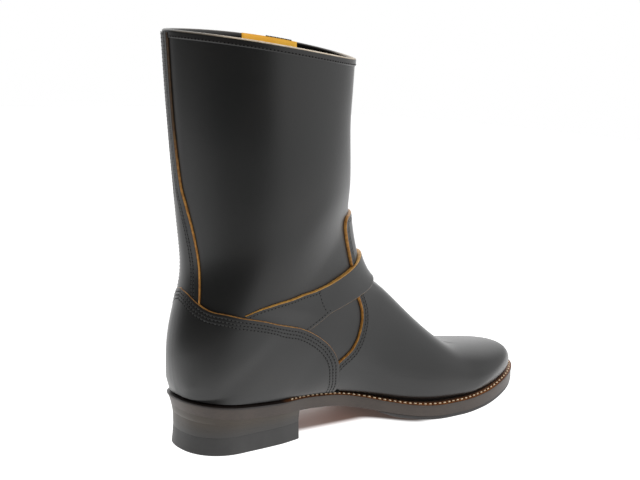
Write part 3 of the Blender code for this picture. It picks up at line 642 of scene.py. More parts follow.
@dataclass
class Bench:
    """Where meshes in the last's millimetres become pieces in the frame."""

    shift: Vector
    weld: float = 2e-6
    sharp_angle: float = math.radians(40)
    made: list[bpy.types.Object] = field(default_factory=list)

    def mesh(self, name: str, points: Array, faces: Sequence[Sequence[int]],
             marks: dict[Mark, Array]) -> bpy.types.Object:
        """A closed mesh with values at its points.

        Args:
            name: The piece's name.
            points: Its points in millimetres.
            faces: Its faces as lists of point numbers.
            marks: Values for the finish, one for each point.

        Returns:
            The new object, at the origin.
        """
        data = bpy.data.meshes.new(name)
        data.from_pydata([tuple(p) for p in points * MM + np.array(self.shift)], [], faces)
        for mark, values in marks.items():
            layer = data.attributes.new(mark.value, "FLOAT", "POINT")
            layer.data.foreach_set("value", np.asarray(values, np.float32))
        work = bmesh.new()
        work.from_mesh(data)
        bmesh.ops.remove_doubles(work, verts=work.verts, dist=self.weld)
        bmesh.ops.dissolve_degenerate(work, edges=work.edges, dist=self.weld)
        bmesh.ops.recalc_face_normals(work, faces=work.faces)
        work.to_mesh(data)
        work.free()
        piece = bpy.data.objects.new(name, data)
        bpy.context.scene.collection.objects.link(piece)
        data.shade_smooth()
        data.set_sharp_from_angle(angle=self.sharp_angle)
        return piece

    def sheets(self, name: str, sheets: Sequence[Sheet]) -> bpy.types.Object:
        """A closed piece between like grids of points.

        Args:
            name: The piece's name.
            sheets: Front grid, back grid, and each mark's values on both.

        Returns:
            The new object.
        """
        keys, fronts, backs, quads = {}, [], [], []
        marks: dict[Mark, tuple[list[float], list[float]]] = {}
        for front, back, values in sheets:
            index = np.empty(front.shape[:2], int)
            rounded = np.round(front, 3)
            for place in np.ndindex(index.shape):
                key = tuple(rounded[place])
                if key not in keys:
                    keys[key] = len(fronts)
                    fronts.append(front[place])
                    backs.append(back[place])
                    for mark, (face, rear) in values.items():
                        pair = marks.setdefault(mark, ([], []))
                        pair[0].append(face[place])
                        pair[1].append(rear[place])
                index[place] = keys[key]
            corners = np.stack([index[:-1, :-1], index[1:, :-1], index[1:, 1:], index[:-1, 1:]], -1)
            quads += corners.reshape(-1, 4).tolist()
        faces = [loop for loop in (list(dict.fromkeys(quad)) for quad in quads) if len(loop) > 2]
        count = len(fronts)
        edges = {(a, b) for loop in faces for a, b in zip(loop, loop[1:] + loop[:1])}
        walls = sorted((b, a, a + count, b + count) for a, b in edges if (b, a) not in edges)
        rear = [[corner + count for corner in loop[::-1]] for loop in faces]
        values = {mark: np.array(pair[0] + pair[1]) for mark, pair in marks.items()}
        return self.mesh(name, np.array(fronts + backs), faces + rear + walls, values)

    def rings(self, name: str, rings: Sequence[Array], raw: Sequence[Union[float, Array]],
              capped: bool) -> bpy.types.Object:
        """A closed plate or ring from loops of points.

        Args:
            name: The piece's name.
            rings: Loops with like numbers of points, in order round the section.
            raw: How much of each loop shows the cut edge.
            capped: Whether the first and last loops are filled, or joined to each other.

        Returns:
            The new object.
        """
        loops = np.stack(rings)
        count, size = loops.shape[:2]
        index = np.arange(count * size).reshape(count, size)
        pairs = [(i, i + 1) for i in range(count - 1)] + ([] if capped else [(count - 1, 0)])
        faces = [[index[a, k], index[a, (k + 1) % size], index[b, (k + 1) % size], index[b, k]]
                 for a, b in pairs for k in range(size)]
        if capped:
            for ring in (index[0], index[-1]):
                faces += [[ring[k], ring[k + 1], ring[size - 2 - k], ring[size - 1 - k]]
                          for k in range(size // 2 - 1)]
        marks = {Mark.RAW: np.concatenate([value + np.zeros(size) for value in raw])}
        return self.mesh(name, loops.reshape(-1, 3), [[int(c) for c in face] for face in faces], marks)

    def keep(self, piece: bpy.types.Object, slot: Slot, finish: bpy.types.Material,
             replaces: Sequence[str] = ()) -> bpy.types.Object:
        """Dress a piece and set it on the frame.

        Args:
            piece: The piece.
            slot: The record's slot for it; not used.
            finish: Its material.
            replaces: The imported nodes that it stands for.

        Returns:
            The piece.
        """
        piece.data.materials.clear()
        piece.data.materials.append(finish)
        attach(piece, BODY)
        if replaces:
            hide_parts(*replaces)
        self.made.append(piece)
        LOG.info("%s: %d faces", piece.name, len(piece.data.polygons))
        return piece


Input = Union[float, Sequence[float], "Value"]


@dataclass
class Value:
    """A node's output that takes part in shader expressions."""

    nodes: "Nodes"
    socket: bpy.types.NodeSocket

    def calc(self, operation: str, *values: Input) -> "Value":
        """A Math node on values."""
        return self.nodes.node("ShaderNodeMath", dict(operation=operation), dict(enumerate(values)))

    def __add__(self, other: Input) -> "Value":
        """Sum."""
        return self.calc("ADD", self, other)

    __radd__ = __add__

    def __mul__(self, other: Input) -> "Value":
        """Product."""
        return self.calc("MULTIPLY", self, other)

    __rmul__ = __mul__

    def __sub__(self, other: Input) -> "Value":
        """Difference."""
        return self.calc("SUBTRACT", self, other)

    def __rsub__(self, other: Input) -> "Value":
        """Difference from a number."""
        return self.calc("SUBTRACT", other, self)

    def __abs__(self) -> "Value":
        """Size without sign."""
        return self.calc("ABSOLUTE", self)

    def sine(self) -> "Value":
        """Sine."""
        return self.calc("SINE", self)

    def step(self, low: float, high: float) -> "Value":
        """A soft step from 0 at low to 1 at high."""
        return self.nodes.node("ShaderNodeMapRange", dict(interpolation_type="SMOOTHSTEP"),
                                {"Value": self, "From Min": low, "From Max": high})


class Nodes:
    """A node tree and the one way to add to it."""

    def __init__(self, tree: bpy.types.NodeTree) -> None:
        """Take over a tree."""
        self.tree = tree

    def node(self, kind: str, settings: Union[dict, None] = None,
             values: Union[dict, None] = None, out: Union[int, str] = 0) -> Value:
        """A node with its settings and inputs.

        Args:
            kind: The node's type.
            settings: Its properties.
            values: Numbers, colours or other values for its inputs.
            out: The output to use.

        Returns:
            That output.
        """
        made = self.tree.nodes.new(kind)
        for name, setting in (settings or {}).items():
            setattr(made, name, setting)
        for name, value in (values or {}).items():
            self.feed(made.inputs[name], value)
        return Value(self, made.outputs[out])

    def feed(self, socket: bpy.types.NodeSocket, value: Input) -> None:
        """Link or set one input.

        Args:
            socket: The input.
            value: A value to link, or a number or colour to set.
        """
        if isinstance(value, Value):
            self.tree.links.new(value.socket, socket)
        elif isinstance(value, (int, float)):
            socket.default_value = value
        else:
            socket.default_value = (*value, 1.0)[: len(socket.default_value)]


class Shader(Nodes):
    """One material's nodes round its Principled shader."""

    def __init__(self, name: str) -> None:
        """Start a material of that name.

        Args:
            name: The material's name.
        """
        self.material = bpy.data.materials.new(name)
        self.material.use_nodes = True
        super().__init__(self.material.node_tree)
        self.surface = self.tree.nodes["Principled BSDF"]
        self.place = self.node("ShaderNodeTexCoord", out="Object")

    def set(self, **values: Input) -> None:
        """Set the surface's own inputs, named with underscores for spaces."""
        for name, value in values.items():
            self.feed(self.surface.inputs[name.replace("_", " ")], value)

    def mark(self, mark: Mark) -> Value:
        """A mark kept at the mesh's points."""
        return self.node("ShaderNodeAttribute", dict(attribute_name=mark.value), out="Fac")

    def axis(self, name: str) -> Value:
        """One of the object coordinates, in metres."""
        return self.node("ShaderNodeSeparateXYZ", None, {"Vector": self.place}, name)

    def stretched(self, scale: Sequence[float]) -> Value:
        """Object coordinates stretched along the axes."""
        return self.node("ShaderNodeMapping", None, {"Vector": self.place, "Scale": scale}, "Vector")

    def noise(self, per_metre: float, detail: float = 2.0, place: Union[Value, None] = None) -> Value:
        """Soft noise from 0 to 1 with that many features to the metre."""
        return self.node("ShaderNodeTexNoise", None,
                         {"Vector": place or self.place, "Scale": per_metre, "Detail": detail})

    def cells(self, per_metre: float, place: Union[Value, None] = None) -> Value:
        """Distance from the nearest of scattered points."""
        return self.node("ShaderNodeTexVoronoi", None, {"Vector": place or self.place, "Scale": per_metre})

    def mix(self, share: Input, first: Input, second: Input) -> Value:
        """A colour between two."""
        return self.node("ShaderNodeMix", dict(data_type="RGBA"), {0: share, 6: first, 7: second}, 2)

    def bump(self, height: Value, distance: float, strength: float = 1.0) -> None:
        """Raise the surface by a height of 1 for that many metres."""
        self.set(Normal=self.node("ShaderNodeBump", None, {
            "Height": height, "Distance": distance, "Strength": strength}))


@dataclass(frozen=True)
class BlackLeather:
    """Smooth black leather over a tan core, with stitch furrows at distances from its edge."""

    name: str
    furrows: tuple[float, ...] = ()
    core: Colour = (0.62, 0.30, 0.060)
    core_deep: Colour = (0.36, 0.145, 0.026)
    face: Colour = (0.0043, 0.0047, 0.0045)
    face_warm: Colour = (0.0066, 0.0060, 0.0056)
    rough: float = 0.30
    core_rough: float = 0.42
    coat: float = 0.18
    coat_rough: float = 0.24
    swells: tuple[tuple[float, float], ...] = ((140.0, 0.30), (430.0, 0.25))
    furrow: float = 0.75
    furrow_depth: float = 2.4
    relief: float = 0.00016
    relief_share: float = 0.7

    def material(self) -> bpy.types.Material:
        """The finish as a material.

        Returns:
            The new material.
        """
        shader = Shader(self.name)
        raw = shader.mark(Mark.RAW)
        cloud = shader.noise(22.0, 3.0)
        pores = shader.noise(1900.0, 2.0)
        grain = shader.cells(820.0)
        face = shader.mix(cloud.step(0.35, 0.75), self.face, self.face_warm)
        core = shader.mix(shader.noise(420.0, 3.0).step(0.3, 0.7), self.core_deep, self.core)
        shader.set(Base_Color=shader.mix(raw, face, core))
        rough = self.rough + 0.08 * cloud + 0.05 * pores
        shader.set(Roughness=rough + (self.core_rough - self.rough - 0.06) * raw)
        shader.set(Coat_Weight=self.coat * (1 - raw), Coat_Roughness=self.coat_rough, Specular_IOR_Level=0.5)
        height = 0.20 * pores + 0.10 * grain
        for per_metre, share in self.swells:
            height = height + share * shader.noise(per_metre)
        if self.furrows:
            edge = shader.mark(Mark.EDGE)
            for furrow in self.furrows:
                height = height - self.furrow_depth * (1 - abs(edge - furrow).step(0.0, self.furrow))
        shader.bump(height, self.relief, self.relief_share)
        return shader.material


@dataclass(frozen=True)
class RawLeather:
    """Vegetable tanned leather: tan facings, insole, welt and sole edges."""

    name: str
    face: Colour
    face_deep: Colour
    edge: Colour
    edge_deep: Colour
    rough: float = 0.6
    edge_rough: float = 0.45
    layers: float = 0.0
    layers_per_metre: float = 370.0
    # Painted shade: a darker face colour behind a point along the sole, for a shaded heel.
    heel_shade: Union[Colour, None] = None
    heel_shade_ends: tuple[float, float] = (-0.080, -0.060)
    # Painted light: a glow in the surface's own colour.
    glow: float = 0.0
    low_edge: Union[Colour, None] = None
    low_ends: tuple[float, float] = (0.012, 0.024)

    def material(self) -> bpy.types.Material:
        """The finish as a material.

        Returns:
            The new material.
        """
        shader = Shader(self.name)
        raw = shader.mark(Mark.RAW)
        cloud = shader.noise(60.0, 4.0)
        fibres = shader.noise(1.0, 3.0, shader.stretched((260.0, 260.0, 2200.0)))
        fuzz = shader.noise(1500.0, 2.0)
        face = shader.mix(cloud.step(0.3, 0.7), self.face_deep, self.face)
        edge = shader.mix((0.5 * cloud + 0.5 * fibres).step(0.35, 0.65), self.edge_deep, self.edge)
        if self.low_edge:
            edge = shader.mix(shader.axis("Z").step(*self.low_ends), self.low_edge, edge)
        colour = shader.mix(raw, face, edge)
        # Painted shade: the face turns dark towards the heel.
        if self.heel_shade:
            colour = shader.mix(shader.axis("X").step(*self.heel_shade_ends), self.heel_shade, colour)
        shader.set(Base_Color=colour)
        # Painted light: the surface glows in its own colour.
        if self.glow:
            shader.set(Emission_Color=colour, Emission_Strength=self.glow)
        shader.set(Roughness=self.rough + 0.1 * cloud + (self.edge_rough - self.rough) * raw)
        height = 0.5 * fuzz + 0.5 * fibres
        if self.layers:
            height = height + self.layers * (shader.axis("Z") * (2 * math.pi * self.layers_per_metre)).sine()
        shader.bump(height, 0.00012, 0.5)
        return shader.material


@dataclass(frozen=True)
class Rubber:
    """Dark sole rubber with a faint moulded grain."""

    name: str
    face: Colour = (0.020, 0.0185, 0.0185)
    face_worn: Colour = (0.034, 0.031, 0.030)

    def material(self) -> bpy.types.Material:
        """The finish as a material.

        Returns:
            The new material.
        """
        shader = Shader(self.name)
        cloud = shader.noise(70.0, 4.0)
        shader.set(Base_Color=shader.mix(cloud.step(0.3, 0.7), self.face, self.face_worn))
        shader.set(Roughness=0.46 + 0.16 * cloud)
        shader.bump(shader.noise(1300.0, 3.0), 0.00012, 0.45)
        return shader.material


@dataclass(frozen=True)
class Thread:
    """Twisted sewing thread, and the painted shade of its holes."""

    name: str
    face: Colour
    face_deep: Colour
    rough: float = 0.5
    # Painted shade: the dark of the stitch holes.
    hole: Colour = (0.0015, 0.0014, 0.0014)

    def material(self) -> bpy.types.Material:
        """The finish as a material.

        Returns:
            The new material.
        """
        shader = Shader(self.name)
        # Painted shade: the bead beside each stitch takes the hole's dark colour.
        hole = shader.mark(Mark.RAW)
        strands = shader.noise(1800.0, 2.0)
        thread = shader.mix(strands.step(0.3, 0.7), self.face_deep, self.face)
        shader.set(Base_Color=shader.mix(hole, thread, self.hole))
        shader.set(Roughness=self.rough + 0.1 * strands + (0.9 - self.rough) * hole, Specular_IOR_Level=0.35)
        shader.bump(strands, 0.0001, 0.5)
        return shader.material


@dataclass(frozen=True)
class Nickel:
    """Polished nickel plate with fine wear."""

    name: str
    face: Colour = (0.62, 0.60, 0.56)
    face_dull: Colour = (0.50, 0.47, 0.43)

    def material(self) -> bpy.types.Material:
        """The finish as a material.

        Returns:
            The new material.
        """
        shader = Shader(self.name)
        cloud = shader.noise(160.0, 3.0)
        shader.set(Base_Color=shader.mix(cloud.step(0.3, 0.7), self.face_dull, self.face), Metallic=1.0)
        shader.set(Roughness=0.20 + 0.14 * cloud)
        shader.bump(shader.noise(900.0, 2.0), 0.00005, 0.3)
        return shader.material


@dataclass(frozen=True)
class EdgeCut:
    """A panel's cut edge: how far in, how far down from its face, and how raw."""

    inset: float
    drop: float
    raw: float


CUT_EDGE = (
    EdgeCut(0.0, 1.5, 1.0), EdgeCut(0.02, 0.95, 1.0), EdgeCut(0.10, 0.55, 1.0), EdgeCut(0.24, 0.26, 1.0),
    EdgeCut(0.42, 0.10, 0.9), EdgeCut(0.58, 0.03, 0.0), EdgeCut(1.2, 0.0, 0.0), EdgeCut(2.2, 0.0, 0.0),
    EdgeCut(4.0, 0.0, 0.0), EdgeCut(6.0, 0.0, 0.0), EdgeCut(8.0, 0.0, 0.0), EdgeCut(10.0, 0.0, 0.0))


@dataclass
class Panel:
    """Leather laid over the last between two lines of places, with cut edges where they show."""

    form: LastForm
    start: Array
    end: Array
    top: Callable[[Array, Array], Array]
    cut_start: bool = False
    body: int = 40
    raw_start: Union[float, Array] = 1.0
    raw_end: Union[float, Array] = 1.0
    sunk: float = -0.15
    room_share: float = 0.45

    def __post_init__(self) -> None:
        """Work out the steps in from each edge, and how much room there is."""
        self.step_start = self.form.steps_in(self.start, self.end)
        self.step_end = self.form.steps_in(self.end, self.start)
        across = self.form.at(*self.end.T) - self.form.at(*self.start.T)
        self.width = np.linalg.norm(across, axis=1)
        self.room = np.maximum(self.room_share * self.width, 1e-3)

    def inset(self, distance: float) -> Array:
        """A distance in from the edge, held back where the panel is narrow."""
        return self.room * (1 - np.exp(-distance / self.room))

    def columns(self) -> list[tuple[Array, float, Array, Array]]:
        """Lines of places across the panel, in order from start to end.

        Returns:
            Each line's places, drop, distance from the edge, and rawness.
        """
        plain = np.zeros(len(self.end))
        first, last = [(self.start, 0.0, self.width, plain)], []
        for curve, step, raw, lines in ((self.start, self.step_start, self.raw_start, first),
                                        (self.end, self.step_end, self.raw_end, last)):
            if lines is last or self.cut_start:
                lines[:] = [(curve + self.inset(cut.inset)[:, None] * step, cut.drop, self.inset(cut.inset),
                             cut.raw * raw + plain) for cut in CUT_EDGE]
        inside = []
        for share in np.linspace(0, 1, self.body + 1)[1:-1]:
            places = first[-1][0] + share * (last[-1][0] - first[-1][0])
            far = min(share, 1 - share) if self.cut_start else 1 - share
            inside.append((places, 0.0, self.inset(CUT_EDGE[-1].inset) + far * self.width, plain))
        return first + inside + last[::-1]

    def sheet(self) -> Sheet:
        """Front and back grids with their marks.

        Returns:
            The grids and each mark's values on both.
        """
        columns = self.columns()
        places = np.stack([column[0] for column in columns], axis=1)
        u, q = places[..., 0], places[..., 1]
        drop = np.array([column[1] for column in columns])[None, :]
        raw = np.stack([column[3] for column in columns], axis=1)
        edge = np.stack([column[2] for column in columns], axis=1)
        front = self.form.at(u, q, self.top(u, q) - drop)
        back = self.form.at(u, q, self.sunk)
        half = len(columns) // 2
        rear = np.repeat(raw[:, [0, -1]], (half, len(columns) - half), axis=1)
        return front, back, {Mark.RAW: (raw, rear), Mark.EDGE: (edge, edge)}

    def seam(self, inset: Union[float, Array], at_end: bool = True) -> Seam:
        """A seam line beside one edge.

        Args:
            inset: Distance from the edge, one number or one for each place.
            at_end: Whether it follows the end or the start.

        Returns:
            Points on the panel's face and outward directions there.
        """
        curve, step = (self.end, self.step_end) if at_end else (self.start, self.step_start)
        places = curve + (np.asarray(inset, float) + np.zeros(len(curve)))[:, None] * step
        u, q = places.T
        return self.form.at(u, q, self.top(u, q)), self.form.normal(u, q)


@dataclass
class Stitching:
    """One modelled stitch and a flat bead beside it, painted dark as the shade in its hole, set along seam
    lines.
    """

    pitch: float = 2.7
    length: float = 1.9
    width: float = 0.85
    height: float = 0.62
    sink: float = 0.05
    hole: float = 1.1
    hole_rise: float = 0.11
    hole_width: float = 1.15
    blunt: float = 0.75
    dive: int = 5
    segments: int = 8
    rings: int = 6

    def bead(self, size: tuple[float, float, float]) -> tuple[Array, list[list[int]]]:
        """Model a bead with its poles along x, and take it off the scene.

        Args:
            size: Its size along x, y and z.

        Returns:
            Its points and faces.
        """
        bpy.ops.object.select_all(action="DESELECT")
        bpy.ops.mesh.primitive_uv_sphere_add(segments=self.segments, ring_count=self.rings, radius=0.5)
        bead = bpy.context.object
        bpy.ops.object.mode_set(mode="EDIT")
        bpy.ops.mesh.select_all(action="SELECT")
        bpy.ops.transform.rotate(value=math.pi / 2, orient_axis="Y", center_override=(0, 0, 0))
        bpy.ops.transform.resize(value=size)
        bpy.ops.object.mode_set(mode="OBJECT")
        points = np.array([vertex.co for vertex in bead.data.vertices])
        faces = [list(face.vertices) for face in bead.data.polygons]
        bpy.data.objects.remove(bead)
        return points, faces

    def one(self) -> tuple[Array, list[list[int]], Array]:
        """A stitch along x with z out of the leather, and a flat bead beside it, painted dark as the shade in
        its hole.

        Returns:
            Points, faces, and which points are the bead for the hole's painted shade.
        """
        thread, faces = self.bead((self.length, self.width, self.height))
        far = 2 * np.abs(thread[:, 0]) / self.length
        thread[:, 0] = np.sign(thread[:, 0]) * self.length / 2 * far**self.blunt
        thread[:, 2] -= self.height * far**self.dive + self.sink
        hole, hole_faces = self.bead((self.hole, self.hole_width * self.width, 2 * self.hole_rise))
        hole[:, 0] += self.pitch / 2
        faces = faces + [[corner + len(thread) for corner in loop] for loop in hole_faces]
        return np.concatenate([thread, hole]), faces, np.repeat([0.0, 1.0], (len(thread), len(hole)))

    def along(self, bench: Bench, name: str, seams: Sequence[Seam]) -> bpy.types.Object:
        """Set stitches along seam lines.

        Args:
            bench: Where the piece is made.
            name: The piece's name.
            seams: Points and outward directions along each seam.

        Returns:
            The joined stitches.
        """
        stitch, loops, hole = self.one()
        points, faces = [], []
        for line, out in seams:
            run = run_along(line)
            count = int(run[-1] / self.pitch)
            for s in (np.arange(count) + 0.5) * run[-1] / max(count, 1):
                ends = [np.array([np.interp(s + d, run, line[:, k]) for k in range(3)])
                        for d in (-self.length / 2, 0.0, self.length / 2)]
                z = unit(np.array([np.interp(s, run, out[:, k]) for k in range(3)]))
                x = unit(ends[2] - ends[0])
                y = unit(np.cross(z, x))
                base = len(points) * len(stitch)
                points.append(ends[1] + stitch @ np.stack([x, y, np.cross(x, y)]))
                faces += [[corner + base for corner in loop] for loop in loops]
        return bench.mesh(name, np.concatenate(points), faces, {Mark.RAW: np.tile(hole, len(points))})


@dataclass
class Upper:
    """Shaft and quarters, with the panels and seams laid over them."""

    form: LastForm
    bench: Bench
    wall: float = 2.2
    vamp_top: float = 2.0
    counter_top: float = 2.5
    backstay_top: float = 1.7
    strap_top: float = 2.3
    over_vamp: float = 1.3
    strap_arch: float = 1.4
    rise_start: float = 22.0
    rise_end: float = 0.3
    vamp_seams: tuple[float, ...] = (2.9, 5.0)
    counter_seams: tuple[float, ...] = (3.0, 5.5, 8.0)
    backstay_seams: tuple[float, ...] = (4.6, 6.8)
    strap_seam: float = 2.4
    strap_cross: tuple[float, float] = (0.565, 0.53)
    strap_over: tuple[float, float] = (0.50, 0.22)
    strap_arch_reach: float = 0.25
    strap_thinned: float = 1.2
    strap_thinned_reach: float = 16.0
    # Painted shade: the strap's lower cut edge shows less of its tan core than the upper edge does.
    strap_low_shaded_raw: float = 0.25
    counter_raw: float = 0.75
    counter_raw_ends: tuple[float, float] = (7.7, 8.6)
    backstay_low: float = 13.3
    backstay_top_raw: float = 0.12
    backstay_raw_ends: tuple[float, float] = (15.2, 16.6)
    backstay_seam_shares: tuple[float, float] = (0.45, 0.70)
    shell_fine_from: float = 7.5
    shell_toe_step: float = 0.25
    shell_rows: int = 118
    shell_columns: int = 145
    welt_clear: float = 0.8
    vamp_edge: Table = Table(("q", "u"), (
        (0.00, 11.05), (0.05, 11.35), (0.09, 11.80), (0.112, 12.08), (0.127, 12.22), (0.138, 12.20),
        (0.147, 11.98), (0.154, 11.60), (0.159, 11.20), (0.164, 10.82), (0.170, 10.48), (0.174, 10.19),
        (0.183, 9.76), (0.188, 9.60), (0.199, 9.38), (0.211, 9.11), (0.233, 8.885), (0.259, 8.692),
        (0.288, 8.499), (0.318, 8.285), (0.355, 8.097), (0.401, 7.964), (0.452, 7.880), (0.503, 7.822),
        (0.557, 7.786), (0.608, 7.785), (0.654, 7.833), (0.697, 7.909), (0.726, 7.947), (1.00, 7.98)))
    counter_edge: Table = Table(("u", "reach"), (
        (7.36, 0.0), (7.42, 0.05), (7.517, 0.114), (7.764, 0.207), (8.046, 0.293), (8.336, 0.348),
        (8.691, 0.388), (9.125, 0.409), (9.472, 0.414), (9.873, 0.412), (10.386, 0.407), (10.89, 0.409),
        (11.49, 0.412), (11.95, 0.406), (12.27, 0.392), (12.50, 0.373), (12.76, 0.341), (13.02, 0.295),
        (13.28, 0.236), (13.50, 0.164), (13.69, 0.106), (13.80, 0.072), (13.87, 0.045), (13.93, 0.0)))
    backstay_edge: Table = Table(("u", "half"), (
        (13.0, 25.0), (13.7, 20.8), (14.04, 18.2), (14.45, 16.8), (14.81, 15.0), (15.23, 11.2),
        (15.46, 8.6), (16.05, 7.2), (16.5, 6.6), (18.0, 7.0)))
    strap_edges: Table = Table(("along", "low_q", "low_u", "up_q", "up_u"), (
        (0.00, 0.000, 7.66, 0.000, 8.90), (0.15, 0.150, 7.92, 0.160, 9.13), (0.33, 0.305, 8.47, 0.300, 9.61),
        (0.45, 0.413, 8.92, 0.373, 10.04), (0.56, 0.477, 9.19, 0.424, 10.68),
        (0.68, 0.511, 9.26, 0.457, 11.61), (0.78, 0.542, 9.33, 0.485, 12.00),
        (0.88, 0.580, 9.42, 0.540, 12.48), (0.95, 0.620, 9.52, 0.630, 12.87),
        (1.00, 0.660, 9.62, 0.690, 13.00)))

    def lay(self, name: str, panel: Panel, finish: BlackLeather, node: str) -> Panel:
        """Make a panel's piece and set it on the frame.

        Args:
            name: The piece's name.
            panel: Its lines and heights.
            finish: Its leather.
            node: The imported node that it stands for.

        Returns:
            The panel, for its seams.
        """
        self.bench.keep(self.bench.sheets(name, [panel.sheet()]), Slot.BLACK, finish.material(), [node])
        return panel

    def shell(self) -> None:
        """The hollow shaft and quarters."""
        u = np.concatenate([np.arange(0, self.shell_fine_from, self.shell_toe_step),
                            np.linspace(self.shell_fine_from, self.form.collar, self.shell_rows)])
        q = np.linspace(-1, 1, self.shell_columns)
        grid_u, grid_q = np.meshgrid(u, q, indexing="ij")
        inside = np.ones_like(grid_u)
        front, back = self.form.at(grid_u, grid_q), self.form.at(grid_u, grid_q, -self.wall)
        piece = self.bench.sheets("upper_leather", [(front, back, {Mark.RAW: (0 * inside, inside)})])
        finish = BlackLeather("black_upper", core=(0.030, 0.020, 0.014), core_deep=(0.016, 0.011, 0.008),
                              core_rough=0.85)
        self.bench.keep(piece, Slot.BLACK, finish.material(), ["upper"])

    def past_vamp(self, u: Array, q: Array) -> Array:
        """How far a piece is raised where it crosses the vamp's edge.

        Args:
            u: Sections.
            q: Places round them.

        Returns:
            The rise in millimetres.
        """
        far = np.abs(np.where(q > 1, 2 - q, q))
        turns = np.linspace(0, 1, 400)
        edge = self.form.at(self.vamp_edge.read("u", turns), turns)
        points = self.form.at(u, far)
        gap = np.min([np.linalg.norm(points - corner, axis=-1) for corner in edge], axis=0)
        gap = np.where(u < self.vamp_edge.read("u", far), -gap, gap)
        return self.over_vamp * ease((self.rise_start - gap) / (self.rise_start - self.rise_end))

    def vamp(self) -> Panel:
        """The front of the foot up to its tab at the shin.

        Returns:
            The panel, for its seams.
        """
        fine = np.linspace(0, 1, 900)
        edge = np.stack([self.vamp_edge.read("u", fine), fine], -1)
        half = even_places(self.form, edge)
        q = np.union1d(half[:, 1], np.linspace(0, 1, 70))
        q = np.concatenate([-q[::-1], q[1:]])
        end = np.stack([self.vamp_edge.read("u", np.abs(q)), q], -1)
        start = np.stack([0 * q, q], -1)
        panel = Panel(self.form, start, end, lambda u, q: self.vamp_top + 0 * u, body=110)
        return self.lay("vamp_leather", panel, BlackLeather("black_vamp", self.vamp_seams), "vamp")

    def counter(self) -> Panel:
        """The heel counter, from the outer side round the back seam to the inner side.

        Returns:
            The panel, for its seams.
        """
        first, last = self.counter_edge.column("u")[[0, -1]]
        up = np.linspace(first, last, 2000)
        reach = self.counter_edge.read("reach", up)
        top = np.concatenate([np.stack([up, 1 - reach], -1), np.stack([up, 1 + reach], -1)[::-1][1:]])
        end = even_places(self.form, top)
        inner = 1 + 1e-9
        along = np.linspace(first, self.form.heel_back, 800)
        count = len(end) // 2 + 1
        outer_low = even_places(self.form, np.stack([along, 1 + 0 * along], -1), count)
        inner_low = even_places(self.form, np.stack([along, inner + 0 * along], -1), len(end) - count + 1)
        start = np.concatenate([outer_low, inner_low[::-1][1:]])
        low, high = self.counter_raw_ends
        raw = self.counter_raw * ease((end[:, 0] - low) / (high - low))
        panel = Panel(self.form, start, end, self.counter_height, body=44, raw_end=raw)
        finish = BlackLeather("black_counter", self.counter_seams)
        return self.lay("counter_leather", panel, finish, "counter")

    def counter_height(self, u: Array, q: Array) -> Array:
        """Height of the counter's face over the last."""
        return self.counter_top + self.past_vamp(u, q)

    def backstay(self) -> Panel:
        """The strip over the back seam, from under the counter to under the collar's binding.

        Returns:
            The panel, for its seams.
        """
        u = np.linspace(self.backstay_low, self.form.collar - 0.02, 110)
        half = self.backstay_edge.read("half", u) / self.form.run(u)
        start, end = np.stack([u, 1 - half], -1), np.stack([u, 1 + half], -1)
        low, high = self.backstay_raw_ends
        raw = 1 - (1 - self.backstay_top_raw) * ease((u - low) / (high - low))
        panel = Panel(self.form, start, end, lambda u, q: self.backstay_top + 0 * u, cut_start=True, body=14,
                      raw_start=raw, raw_end=raw)
        finish = BlackLeather("black_backstay", self.backstay_seams)
        return self.lay("backstay_leather", panel, finish, "backstay")

    def strap_line(self, along: Array, edge: str) -> Array:
        """Places along the strap's lower or upper edge.

        Args:
            along: Places from the inner end (-1) to the outer end (1).
            edge: Which edge, low or up.

        Returns:
            The places as (u, q).
        """
        far = np.abs(along)
        u, q = self.strap_edges.read(edge + "_u", far), self.strap_edges.read(edge + "_q", far)
        return np.stack([u, np.sign(along) * q], -1)

    def strap(self) -> Panel:
        """The instep strap, whose ends run under the counter.

        Returns:
            The panel, for its seams.
        """
        along = np.linspace(-1, 1, 170)
        start, end = self.strap_line(along, "low"), self.strap_line(along, "up")
        # The lower edge's weaker tan is painted shade under the strap.
        panel = Panel(self.form, start, end, self.strap_height, cut_start=True, body=16,
                      raw_start=self.strap_low_shaded_raw)
        finish = BlackLeather("black_strap", core=(0.80, 0.43, 0.085), core_deep=(0.56, 0.26, 0.045))
        return self.lay("strap_leather", panel, finish, "instep_strap")

    def strap_height(self, u: Array, q: Array) -> Array:
        """Height of the strap's face over the last, thinned where it goes under the counter.

        Args:
            u: Sections.
            q: Places round them.

        Returns:
            The heights in millimetres.
        """
        far = np.abs(q)
        end, reach = self.strap_over
        over = self.over_vamp * ease((end - far) / reach)
        arch = self.strap_arch * ease(1 - far / self.strap_arch_reach)
        room = (1 - self.counter_edge.read("reach", u) - far) * self.form.run(u)
        return self.strap_top + over + arch - self.strap_thinned * ease(1 - room / self.strap_thinned_reach)

    def build(self) -> None:
        """Make every panel and its seams."""
        self.shell()
        stitching = Stitching()
        black = Thread("black_thread", (0.050, 0.050, 0.048), (0.022, 0.022, 0.021), 0.42)
        vamp, counter, backstay, strap = self.vamp(), self.counter(), self.backstay(), self.strap()
        narrow = self.backstay_edge.read("half", backstay.end[:, 0])
        runs = {
            "vamp_stitches": [vamp.seam(inset) for inset in self.vamp_seams],
            "counter_stitches": [counter.seam(inset) for inset in self.counter_seams],
            "backstay_stitches": [backstay.seam(np.minimum(inset, share * narrow), at_end)
                                  for at_end in (False, True)
                                  for inset, share in zip(self.backstay_seams, self.backstay_seam_shares)],
            "strap_stitches": self.strap_seams(strap),
        }
        for name, seams in runs.items():
            seams = [self.clear_of_welt(*seam) for seam in seams]
            self.bench.keep(stitching.along(self.bench, name, seams), Slot.BLACK, black.material())

